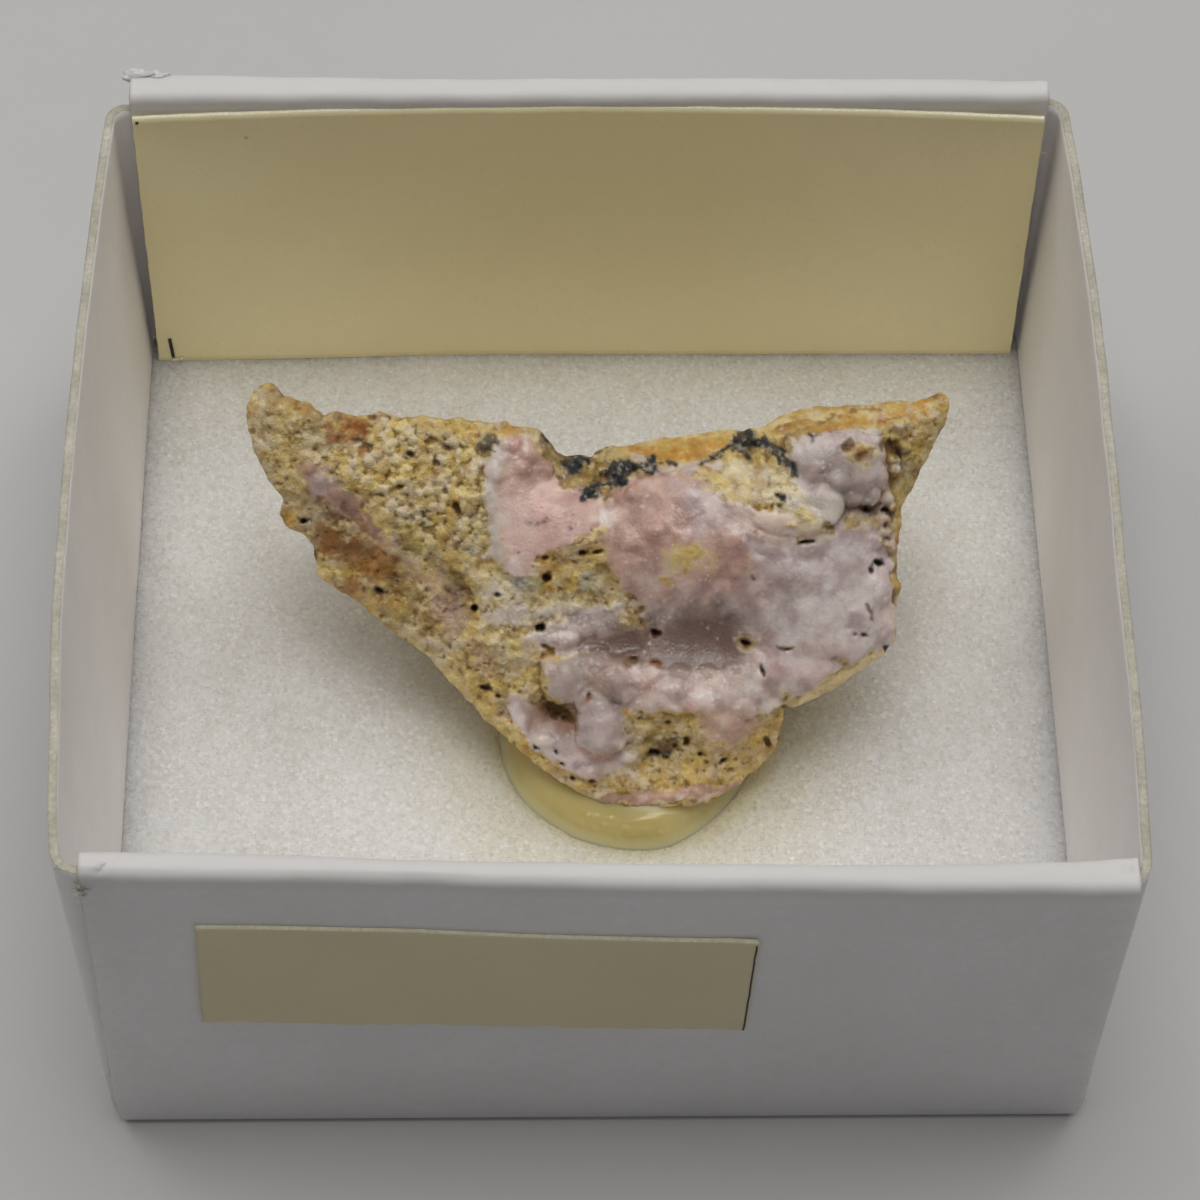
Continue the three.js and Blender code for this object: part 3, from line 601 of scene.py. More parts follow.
    ("pale pink", "spot", (648, 576, 20, 15), 14, 7, 0.4, 1),
    ("rose", "spot", (652, 520, 28, 18), 18, 8, 0.4, 1),
    ("white", "spot", (765, 492, 24, 15), 14, 9, 0.45, None),
    ("pale pink", "spot", (609, 508, 6, 14), 7, 5, 0.7, 1),
    ("white", "spot", (606, 518, 4, 7), 4, 3, 0.6, 1),
    ("deep rose", "spot", (742, 555, 18, 24), 16, 8, 0.7, 1),
    ("rose", "spot", (722, 570, 20, 14), 14, 8, 0.6, 1),
    ("lavender", "spot", (700, 590, 30, 8), 12, 8, 0.35, 1),
    # The lavender crust at the right and the dark recess below it, whose grey, grey-mauve and brown are
    # partly painted shade under the overhanging crust.
    ("lavender", "area", [(745, 535), (800, 545), (840, 530), (880, 530), (890, 560), (894, 640),
        (870, 660), (800, 695), (760, 680), (735, 640), (730, 600), (752, 570)], 16, 9, 1.0, 1),
    ("lavender", "area", [(600, 605), (660, 605), (735, 600), (770, 650), (760, 680), (700, 680),
        (630, 672), (560, 650), (520, 640), (545, 628)], 12, 8, 0.9, 1),
    ("lobe grey", "area", [(545, 640), (600, 632), (660, 600), (740, 600), (770, 620), (760, 660),
        (735, 676), (690, 680), (640, 670), (560, 656)], 20, 9, 0.9, 1),
    ("painted shade mauve", "area", [(640, 640), (690, 610), (728, 612), (745, 636), (736, 668), (715, 678),
        (668, 672), (640, 662)], 18, 8, 0.92, 1),
    ("painted shade mauve", "area", [(566, 642), (600, 634), (650, 626), (690, 640), (690, 670), (640, 666),
        (590, 660)], 12, 8, 0.8, 1),
    ("painted shade mauve", "spot", (700, 606, 20, 8), 12, 7, 0.55, 1),
    ("painted shade mauve", "spot", (622, 646, 30, 11), 12, 6, 0.6, 1),
    ("brown", "spot", (636, 659, 16, 5), 6, 5, 0.3, 0.9),
    ("brown", "spot", (618, 646, 26, 9), 12, 7, 0.28, 1),
    ("lobe grey", "spot", (790, 588, 24, 14), 16, 9, 0.65, 1),
    ("rose", "spot", (752, 585, 16, 24), 16, 8, 0.5, 1),
    ("pale lavender", "spot", (830, 600, 36, 20), 22, 12, 0.5, 1),
    ("white", "spot", (862, 586, 14, 12), 12, 8, 0.25, 1),
    ("pale lavender", "spot", (800, 634, 26, 9), 14, 10, 0.35, 1),
    ("pale pink", "spot", (826, 650, 30, 12), 16, 8, 0.3, 1),
    ("mauve", "spot", (822, 652, 26, 11), 14, 8, 0.28, 1),
    ("pale lavender", "spot", (850, 560, 24, 22), 18, 10, 0.35, 1),
    ("rose", "spot", (880, 612, 12, 14), 10, 6, 0.35, 1),
    # The grey band just under the cream patch's lip is painted shade.
    ("lobe grey", "spot", (800, 552, 26, 8), 12, 8, 0.4, 1),
    ("pink", "spot", (815, 672, 32, 9), 12, 6, 0.45, 1),
    # Round pit: an olive ring with a cream top, and brown at its middle that is partly painted shade.
    ("olive", "spot", (747, 643, 11, 9.5), 3, 1, 0.75, 0.8),
    ("cream", "line", [(738, 638), (747, 634), (756, 639)], 2, 1, 0.6, 0.8),
    ("brown", "spot", (746, 644, 6, 4.5), 3, 1, 0.8, 0.8),
    ("mauve", "spot", (765, 640, 14, 8), 10, 6, 0.35, 1),
    ("pink", "spot", (770, 664, 16, 10), 12, 6, 0.3, 1),
    # The cream patch and the lobes right of it.
    ("cream", "area", [(700, 476), (735, 460), (775, 462), (805, 476), (820, 500), (826, 524), (800, 530),
        (772, 508), (740, 502), (712, 490)], 9, 9, 0.95, 0.35),
    ("brown", "line", [(770, 446), (784, 456), (798, 470)], 11, 5, 0.55, 0.5),
    ("olive", "line", [(742, 446), (760, 452)], 9, 6, 0.5, 0.2),
    ("white", "area", [(742, 470), (780, 468), (808, 486), (815, 515), (780, 505),
        (748, 495)], 10, 9, 0.45, 0.35),
    ("yellow", "spot", (712, 478, 20, 7), 8, 8, 0.35, 0.1),
    ("pale pink", "line", [(740, 522), (765, 533), (792, 538)], 10, 4, 0.75, 1),
    ("pale pink", "spot", (756, 520, 34, 11), 10, 6, 0.8, 1),
    ("ledge", "line", [(742, 531), (758, 540), (786, 545)], 9, 2, 0.9, 1),
    ("pale pink", "line", [(750, 522), (770, 530), (792, 532)], 9, 3, 0.7, 1),
    ("ledge", "spot", (800, 534, 22, 8), 8, 5, 0.7, 1), ("rose", "spot", (820, 530, 9, 5), 6, 4, 0.5, 1),
    ("cream", "spot", (812, 525, 14, 5), 6, 4, 0.6, 1),
    ("lavender", "area", [(790, 440), (830, 428), (880, 430), (886, 470), (874, 512), (845, 515),
        (838, 530), (820, 520), (800, 485)], 8, 5, 0.95, 0.9),
    # On the bulb the pale lavender at the upper left is partly painted light, and the grey to grey-mauve on
    # its lower side partly painted shade.
    ("lobe grey", "line", [(800, 468), (818, 481), (838, 488)], 9, 4, 0.55, 1),
    ("lobe grey", "spot", (848, 474, 36, 30), 18, 8, 0.8, 1),
    ("pale lavender", "spot", (808, 448, 18, 12), 12, 6, 0.55, 1),
    ("pale lavender", "spot", (830, 476, 14, 10), 10, 6, 0.35, 1),
    ("lobe grey", "spot", (862, 490, 24, 17), 14, 6, 0.9, 1),
    ("lavender", "spot", (876, 480, 9, 14), 8, 5, 0.5, 1),
    ("lobe grey", "spot", (812, 482, 16, 5), 8, 5, 0.6, 1),
    ("painted shade mauve", "spot", (852, 508, 16, 7), 8, 5, 0.55, 1),
    ("white", "spot", (825, 506, 17, 17), 9, 4, 0.85, 0.9),
    ("mauve", "line", [(800, 490), (809, 508), (815, 522)], 2.5, 3, 0.5, 0.9),
    ("cream", "spot", (858, 456, 15, 12), 8, 6, 0.65, 0.4),
    ("rust", "spot", (861, 458, 8, 7), 5, 4, 0.85, 0.3),
    ("orange", "spot", (858, 450, 6, 4), 4, 3, 0.6, 0.3),
    ("brown", "spot", (847, 446, 6, 6), 3, 3, 0.75, 0.3),
    ("pale pink", "spot", (818, 472, 8, 5), 4, 3, 0.5, 1),
    # The right end.
    ("matrix", "area", [(884, 430), (905, 405), (950, 390), (952, 425), (915, 500), (898, 520), (890, 500),
        (888, 460)], 8, 6, 1.0, 0),
    ("ochre", "spot", (912, 430, 16, 18), 10, 8, 0.5, 0),
    ("olive", "spot", (917, 462, 12, 22), 10, 8, 0.4, 0),
    ("cream", "spot", (932, 420, 12, 14), 10, 8, 0.4, 0),
    ("olive", "spot", (912, 476, 10, 16), 10, 8, 0.35, 0),
    ("orange", "spot", (915, 424, 9, 8), 6, 5, 0.6, 0), ("brown", "spot", (895, 446, 8, 9), 6, 6, 0.7, 0),
    ("brown", "spot", (892, 478, 6, 10), 5, 5, 0.6, 0), ("white", "spot", (893, 462, 6, 5), 3, 3, 0.6, 0.4),
    ("brown", "line", [(862, 508), (885, 512), (891, 520)], 5, 5, 0.7, 0.2),
    ("ledge", "line", [(880, 485), (888, 500), (882, 520), (890, 545)], 10, 5, 0.8, 0.8),
    ("white", "spot", (899, 424, 7, 6), 4, 3, 0.7, 0.5),
    ("orange", "line", [(898, 520), (896, 545)], 3, 2, 0.8, 0),
    ("ochre", "line", [(899, 560), (899, 600), (896, 640)], 2.5, 1.5, 0.8, 0),
    ("brown", "spot", (896, 454, 7, 4), 4, 4, 0.5, 0), ("white", "spot", (901, 466, 5, 5), 3, 3, 0.5, 0.3),
    ("white", "spot", (886, 496, 6, 5), 3, 3, 0.5, 0.5),
    # The broken top side.
    ("ochre", "area", [(610, 446), (660, 434), (745, 431), (765, 425), (800, 411), (870, 405), (930, 396),
        (948, 392), (940, 412), (890, 424), (840, 428), (796, 432), (765, 436), (740, 434), (718, 446),
        (700, 460), (655, 462), (630, 456)], 4, 3, 1.0, 0),
    ("orange", "line", [(636, 452), (665, 456), (700, 455), (722, 442)], 9, 5, 0.85, 0),
    ("cream", "line", [(700, 436), (760, 430), (830, 416), (900, 410)], 7, 6, 0.55, 0),
    ("cream", "line", [(620, 450), (660, 440), (700, 436)], 5, 5, 0.4, 0),
    ("orange", "line", [(800, 432), (850, 426), (880, 420), (925, 405), (945, 396)], 5, 4, 0.75, 0),
    ("rust", "line", [(776, 430), (800, 424), (850, 414), (890, 408)], 2.5, 4, 0.8, 0),
    ("rust", "line", [(850, 431), (890, 418), (925, 412)], 2.5, 4, 0.7, 0),
    ("rust", "spot", (938, 398, 10, 6), 5, 4, 0.6, 0),
    ("lavender", "line", [(650, 470), (690, 468), (715, 462)], 8, 4, 0.85, 0.6),
    ("pale lavender", "spot", (642, 463, 8, 6), 4, 3, 0.9, 0.6),
    ("pale lavender", "spot", (502, 446, 5, 10), 4, 3, 0.6, 0.6),
    ("green grey", "spot", (606, 446, 12, 5), 6, 4, 0.5, 0.2),
    # The ochre and blue-green patches between the crusts.
    ("ochre", "area", [(537, 556), (560, 550), (596, 545), (600, 562), (580, 590), (560, 598),
        (540, 590)], 8, 6, 0.9, 0.1),
    ("cream", "line", [(566, 548), (596, 536), (604, 528)], 8, 5, 0.7, 0.3),
    ("yellow", "spot", (562, 582, 18, 13), 6, 5, 0.9, 0),
    ("orange", "spot", (540, 562, 8, 6), 6, 4, 0.7, 0), ("cream", "spot", (570, 560, 12, 5), 6, 4, 0.6, 0),
    ("cream", "spot", (566, 573, 14, 6), 7, 6, 0.55, 0),
    ("orange", "spot", (556, 566, 10, 5), 5, 3, 0.6, 0), ("rust", "spot", (547, 576, 5, 7), 3, 3, 0.85, 0),
    ("blue green", "spot", (598, 582, 15, 14), 10, 10, 1.0, 0.35),
    ("green grey", "line", [(588, 576), (600, 592), (608, 584)], 3, 5, 0.7, 0.3),
    ("cream", "spot", (606, 590, 6, 6), 5, 6, 0.6, 0.2),
    ("ochre", "spot", (612, 580, 5, 9), 5, 6, 0.6, 0.2),
    ("pale lavender", "spot", (592, 574, 6, 5), 4, 4, 0.6, 0.5),
    ("blue green", "spot", (527, 581, 13, 9), 9, 8, 0.9, 0.35),
    ("green grey", "line", [(520, 578), (532, 586)], 3, 5, 0.6, 0.2),
    ("cream", "spot", (536, 576, 6, 5), 5, 5, 0.5, 0.2),
    ("cream", "spot", (584, 560, 14, 5), 6, 4, 0.6, 0.3),
    ("rust", "line", [(582, 552), (604, 554)], 3, 3, 0.7, 0.2),
    ("pale lavender", "spot", (595, 577, 5, 5), 4, 3, 0.5, 0.5),
    ("ochre", "spot", (688, 557, 18, 11), 16, 10, 0.7, 0.6),
    ("yellow", "spot", (694, 552, 9, 7), 9, 7, 0.5, 0.5),
    ("tan", "spot", (672, 565, 10, 6), 9, 7, 0.4, 0.7), ("ochre", "spot", (665, 580, 6, 5), 7, 5, 0.6, 0.6),
    ("orange", "spot", (664, 578, 2.5, 2), 2, 2, 0.6, 0.6),
    ("yellow", "spot", (634, 618, 11, 11), 8, 7, 0.6, 0.1),
    ("cream", "spot", (632, 622, 8, 8), 6, 6, 0.45, 0.1),
    ("cream", "spot", (622, 600, 10, 6), 6, 5, 0.5, 0.3),
    ("rust", "line", [(630, 596), (627, 610)], 5, 4, 0.7, 0),
    ("olive", "spot", (640, 608, 6, 5), 4, 4, 0.6, 0),
    # The grape lobes and the ledge.
    ("lobe grey", "area", [(540, 662), (575, 655), (630, 662), (640, 680), (640, 708), (622, 750),
        (596, 758), (578, 745), (575, 715), (548, 690)], 8, 5, 0.95, 1),
    ("lavender", "spot", (560, 686, 12, 14), 10, 6, 0.4, 1),
    ("mauve", "spot", (608, 678, 14, 18), 10, 5, 0.45, 1),
    ("pale lavender", "spot", (618, 683, 6, 9), 8, 4, 0.35, 1),
    ("lobe grey", "area", [(570, 700), (630, 700), (634, 740), (620, 764), (588, 766),
        (570, 748)], 9, 4, 0.9, 1),
    ("lavender", "spot", (597, 722, 18, 24), 10, 6, 0.5, 1),
    ("pale lavender", "spot", (600, 738, 18, 9), 8, 4, 0.35, 1),
    ("mauve", "line", [(588, 664), (587, 690)], 4, 4, 0.5, 0.9),
    ("ledge", "line", [(628, 676), (664, 678), (700, 680), (772, 682)], 14, 3, 0.95, 1),
    ("ledge", "area", [(632, 674), (700, 682), (770, 680), (782, 700), (750, 716), (700, 714),
        (640, 710)], 9, 6, 0.95, 1),
    ("pale lavender", "spot", (676, 691, 10, 6), 8, 5, 0.35, 1),
    ("pale lavender", "spot", (716, 697, 15, 9), 9, 6, 0.5, 1),
    ("rose", "spot", (640, 684, 12, 9), 8, 5, 0.6, 1), ("pink", "spot", (690, 708, 22, 6), 8, 5, 0.6, 1),
    ("pale pink", "spot", (655, 700, 14, 6), 8, 5, 0.4, 1),
    ("pale lavender", "spot", (752, 690, 12, 9), 8, 5, 0.4, 1),
    # The white dot is a painted glint.
    ("white", "spot", (739, 706, 4, 3.5), 3, 2, 0.8, 1),
    ("rose", "area", [(692, 710), (756, 712), (762, 722), (745, 740), (716, 746),
        (702, 732)], 14, 8, 0.8, 0.75),
    ("cream", "spot", (768, 718, 9, 6), 7, 5, 0.6, 0.3), ("pink", "spot", (730, 722, 16, 8), 8, 6, 0.5, 1),
    ("pale lavender", "spot", (770, 706, 13, 8), 8, 4, 0.6, 1),
    ("pink", "line", [(640, 700), (632, 712)], 7, 4, 0.5, 0.8),
    ("red", "spot", (588, 695, 3.5, 4), 2, 2, 0.85, 0.5),
    ("red", "spot", (655, 664, 6, 2.5), 3, 2, 0.7, 0.6),
    ("brown", "spot", (633, 660, 9, 4), 5, 4, 0.7, 0.5),
    ("cream", "line", [(560, 655), (590, 652)], 3, 3, 0.4, 0.7),
    # The crust under the hollow, and the hollow.
    ("lavender", "area", [(508, 692), (530, 702), (575, 735), (600, 758), (625, 752), (640, 760),
        (620, 772), (590, 780), (560, 768), (535, 750), (512, 725)], 6, 4, 0.9, 0.9),
    ("mauve", "spot", (540, 716, 20, 16), 10, 6, 0.65, 0.9),
    ("lobe grey", "spot", (560, 740, 16, 14), 10, 6, 0.6, 0.9),
    ("pale lavender", "line", [(512, 712), (524, 734), (548, 752), (572, 762)], 6, 4, 0.6, 0.9),
    ("rust", "spot", (606, 760, 12, 4), 4, 3, 0.6, 0.6),
    ("mauve", "area", [(536, 700), (556, 706), (576, 720), (578, 742), (556, 732),
        (538, 716)], 9, 4, 0.75, 0.8),
    # The rust in the hollow is partly painted shade.
    ("rust", "area", [(540, 700), (552, 698), (567, 704), (577, 717), (575, 728), (560, 721),
        (542, 713)], 8, 4, 0.45, 0.4),
    ("mauve", "line", [(546, 716), (562, 726), (572, 736)], 8, 4, 0.6, 0.8),
    ("white", "spot", (545, 738, 9, 6), 6, 3, 0.6, 0.9),
    ("pale lavender", "spot", (518, 714, 6, 12), 6, 3, 0.7, 0.9),
    ("pale lavender", "spot", (577, 763, 12, 10), 8, 4, 0.5, 0.9),
    ("rose", "line", [(580, 750), (596, 758), (612, 756)], 8, 4, 0.6, 0.9),
    ("mauve", "spot", (596, 768, 30, 8), 10, 5, 0.3, 0.9),
    ("white", "spot", (630, 750, 10, 5), 6, 4, 0.5, 0.6),
    ("brown", "line", [(624, 746), (630, 741), (639, 745)], 4, 3, 0.6, 0.3),
    ("olive", "spot", (534, 700, 10, 4), 5, 4, 0.5, 0.2),
    ("cream", "line", [(620, 748), (640, 744), (648, 736)], 6, 4, 0.5, 0.5),
    # The matrix at the foot.
    ("ochre", "area", [(478, 690), (505, 715), (530, 748), (560, 768), (592, 784), (625, 774), (645, 758),
        (640, 735), (622, 712), (690, 714), (704, 745), (740, 752), (765, 720), (785, 708), (778, 756),
        (740, 795), (690, 795), (620, 802), (560, 790), (500, 738)], 6, 6, 0.75, 0),
    ("tan", "spot", (660, 730, 30, 12), 14, 10, 0.5, 0),
    ("cream", "spot", (640, 776, 30, 12), 16, 10, 0.45, 0),
    ("yellow", "spot", (700, 778, 40, 10), 14, 10, 0.35, 0),
    ("cream", "spot", (640, 722, 14, 5), 8, 6, 0.35, 0),
    ("cream", "spot", (560, 780, 20, 8), 10, 8, 0.4, 0),
    ("yellow", "spot", (545, 768, 16, 9), 8, 7, 0.5, 0), ("cream", "spot", (532, 762, 12, 6), 8, 6, 0.5, 0),
    ("cream", "spot", (740, 770, 16, 12), 10, 8, 0.35, 0),
    ("olive", "spot", (664, 747, 30, 12), 12, 9, 0.7, 0),
    ("olive", "line", [(640, 716), (660, 722), (684, 722)], 8, 8, 0.5, 0),
    ("white", "spot", (640, 730, 14, 7), 8, 7, 0.4, 0), ("white", "spot", (630, 772, 16, 7), 8, 8, 0.45, 0),
    ("white", "spot", (600, 790, 20, 5), 8, 7, 0.3, 0), ("olive", "spot", (694, 742, 10, 12), 8, 7, 0.5, 0),
    ("brown", "spot", (662, 750, 16, 4), 5, 6, 0.6, 0),
    ("pale lavender", "spot", (632, 757, 11, 5), 5, 3, 0.6, 0.6),
    ("rust", "spot", (767, 742, 5, 12), 5, 4, 0.5, 0), ("orange", "spot", (755, 730, 9, 5), 5, 4, 0.4, 0),
    ("mauve", "line", [(604, 798), (632, 799), (660, 796), (690, 793), (722, 789),
        (738, 782)], 9, 4, 0.9, 0.85),
    ("pink", "line", [(640, 797), (664, 794), (700, 791)], 3, 3, 0.5, 0.9),
    ("lavender", "line", [(700, 797), (716, 793)], 3, 3, 0.6, 0.9),
    # The white dot on the stripe is a painted highlight.
    ("white", "spot", (682, 797, 4, 2), 2, 2, 0.6, 0.8),
    ("cream", "area", CUT_FACE, 3, 1.5, 1.0, 0.0),
    ("yellow", "line", [(801, 700), (820, 681), (840, 670), (863, 659), (886, 650)], 2.5, 2, 0.5, 0.3),
    ("ochre", "line", [(812, 702), (850, 682), (876, 665)], 4, 3, 0.4, 0.2),
    ("yellow", "spot", (899, 583, 4, 7), 3, 2, 0.8, 0),
    ("yellow", "line", [(812, 700), (850, 679)], 3, 3, 0.4, 0.1),
    ("ochre", "spot", (786, 651, 9, 2.5), 3, 2, 0.7, 0.5),
    ("olive", "spot", (837, 661, 8, 3.5), 4, 3, 0.7, 0.4),
    ("rust", "line", [(758, 664), (762, 674)], 2.5, 2, 0.8, 0.5),
    ("ochre", "line", [(752, 750), (768, 724), (786, 708)], 8, 4, 0.8, 0),
    ("olive", "spot", (778, 712, 6, 4), 4, 3, 0.6, 0.2),
    # Last touches over the rest.
    ("deep rose", "spot", (652, 520, 34, 24), 20, 9, 0.65, 1),
    ("mauve", "spot", (640, 506, 16, 9), 10, 7, 0.25, 1),
    ("white", "spot", (765, 492, 24, 15), 14, 9, 0.5, None),
    ("ochre", "spot", (684, 558, 16, 9), 12, 10, 0.4, 0.6),
    ("rust", "line", [(674, 566), (688, 570), (701, 560)], 4, 7, 0.35, 0.6),
    ("brown", "spot", (692, 552, 8, 4), 5, 6, 0.22, 0.6),
    ("blue green", "spot", (596, 583, 13, 13), 9, 8, 0.6, 0.35),
]

# Where the left half of the matrix is drusy.
DRUSY = [(340, 412), (490, 425), (485, 520), (476, 560), (410, 530), (345, 470)]

# The round pit in the lavender crust.
ROUND_PIT = (747, 643)

# Where tiny white beads sit on the crust.
BEADED = [
    (494, 592), (520, 578), (545, 600), (600, 588), (636, 596), (644, 612), (624, 628), (590, 626),
    (560, 640), (520, 640), (500, 625),
]

# The broken, fibrous top side that shows along the upper right edge.
PLATEAU = [
    (600, 462), (650, 466), (700, 464), (722, 448), (738, 436), (765, 437), (800, 434), (880, 430),
    (945, 412), (960, 380), (600, 380),
]

# Black films and specks, and dark marks in the holes that are partly painted shade.
DARK = [
    ("area", [(480, 446), (483, 438), (489, 434), (496, 437), (497, 443), (491, 447), (484, 450)], 3.5),
    ("area", [(566, 464), (570, 453), (575, 445), (581, 452), (591, 457), (585, 463), (581, 471),
        (570, 470)], 5),
    ("area", [(606, 476), (607, 466), (615, 461), (625, 463), (630, 471), (625, 481), (613, 485)], 5),
    ("line", [(630, 472), (637, 466), (645, 468)], 3.2),
    ("line", [(645, 468), (652, 460), (654, 471)], 4.0),
    ("area", [(583, 498), (585, 489), (594, 485), (604, 486), (600, 491), (590, 497)], 3.5),
    ("line", [(606, 484), (616, 484)], 2.4), ("line", [(595, 454), (606, 448), (616, 443)], 1.9),
    ("line", [(657, 463), (668, 462), (676, 465)], 1.9),
    ("line", [(700, 465), (708, 460), (719, 456)], 1.4),
    ("line", [(712, 457), (724, 450), (732, 444), (741, 438)], 2.6),
    ("area", [(733, 446), (739, 438), (746, 434), (752, 433), (757, 441), (765, 438), (767, 445),
        (759, 449), (750, 444), (741, 448)], 6),
    ("line", [(764, 440), (770, 449)], 4.2), ("line", [(772, 453), (779, 461)], 2.2),
    ("line", [(780, 452), (788, 463), (796, 473)], 5.5), ("line", [(772, 445), (783, 455)], 2.0),
    ("line", [(739, 450), (746, 454), (750, 460)], 1.9),
    ("line", [(543, 437), (553, 443), (566, 441)], 1.9), ("line", [(574, 444), (578, 449)], 1.9),
    ("line", [(525, 519), (529, 523)], 0.9), ("line", [(534, 524), (541, 523), (547, 519)], 1.0),
    ("line", [(561, 515), (568, 517), (573, 516)], 0.8),
    ("line", [(573, 522), (569, 529), (564, 530)], 0.8), ("line", [(566, 533), (569, 534)], 1.0),
    ("line", [(511, 551), (518, 552)], 0.9), ("line", [(583, 531), (587, 538)], 0.8),
    ("line", [(538, 625), (544, 628), (541, 631)], 2.2), ("line", [(742, 641), (747, 645)], 1.8),
    ("line", [(875, 562), (881, 561)], 3.2), ("line", [(872, 566), (870, 573)], 1.4),
    ("line", [(866, 603), (870, 610), (874, 606)], 1.4), ("line", [(870, 610), (871, 619)], 2.0),
    ("line", [(853, 630), (855, 633)], 1.8), ("line", [(862, 634), (868, 636)], 1.6),
    ("line", [(884, 647), (887, 646)], 3.0), ("line", [(798, 544), (808, 542), (814, 540)], 1.1),
    ("line", [(808, 434), (812, 437), (810, 441)], 0.8), ("line", [(812, 436), (818, 434)], 0.8),
    ("line", [(777, 496), (781, 498)], 3.0), ("line", [(777, 506), (779, 507)], 1.6),
    ("line", [(474, 607), (476, 610)], 2.4), ("line", [(301, 519), (306, 522)], 3.0),
    ("line", [(408, 453), (412, 452)], 1.8), ("line", [(376, 586), (386, 590)], 3.0),
    ("line", [(648, 755), (655, 750)], 1.6), ("line", [(658, 752), (668, 753)], 2.0),
    ("line", [(672, 741), (678, 738)], 1.0), ("line", [(698, 753), (701, 755)], 1.2),
    ("line", [(719, 763), (725, 759)], 1.6), ("line", [(535, 745), (538, 748)], 2.0),
    ("line", [(553, 749), (556, 753)], 1.8), ("line", [(562, 763), (565, 765)], 1.6),
    ("line", [(571, 778), (573, 779)], 1.6), ("line", [(482, 684), (490, 688), (497, 691)], 2.4),
    ("line", [(497, 593), (500, 595)], 2.4), ("line", [(784, 707), (787, 705)], 2.2),
    ("line", [(760, 666), (763, 673)], 1.2), ("line", [(776, 646), (784, 652), (793, 648)], 0.8),
    ("line", [(752, 576), (754, 578)], 1.4), ("line", [(828, 432), (834, 430)], 1.2),
    ("line", [(862, 510), (868, 512)], 2.4), ("line", [(884, 512), (890, 514)], 2.2),
    ("line", [(889, 438), (893, 446)], 1.4), ("line", [(898, 452), (900, 458)], 1.8),
    ("line", [(880, 504), (872, 508)], 1.8), ("line", [(886, 537), (889, 539)], 1.6),
]


def face_point(u, v, n):
    return CENTRE + u[..., None] * ALONG + v[..., None] * UP_FACE + n[..., None] * OUT_OF_FACE


def oval(x, y, cx, cy, rx, ry, turn=0.0):
    a = math.radians(turn)
    dx, dy = x - cx, y - cy
    along = dx * math.cos(a) + dy * math.sin(a)
    across = -dx * math.sin(a) + dy * math.cos(a)
    return np.hypot(along / rx, across / ry)


def domes(u, v, size, seed):
    """Round swellings side by side, about as wide as size, and a number for each."""
    near, _, mark = cells(u / size, v / size, seed)
    return np.sqrt(np.clip(1 - near * near, 0, 1)) - 0.65, mark


def grains(u, v, size, seed, spread):
    """Separate grains that differ in height by spread, and a number for each."""
    near, _, mark = cells(u / size, v / size, seed)
    return np.sqrt(np.clip(1 - (near / 0.62) ** 2, 0, 1)) * (0.35 + spread * mark), mark


def laid(under, tone, share):
    """A colour laid over another, share of 1 covering it. Every point has its own share."""
    return mix(under, np.asarray(tone), share[..., None])


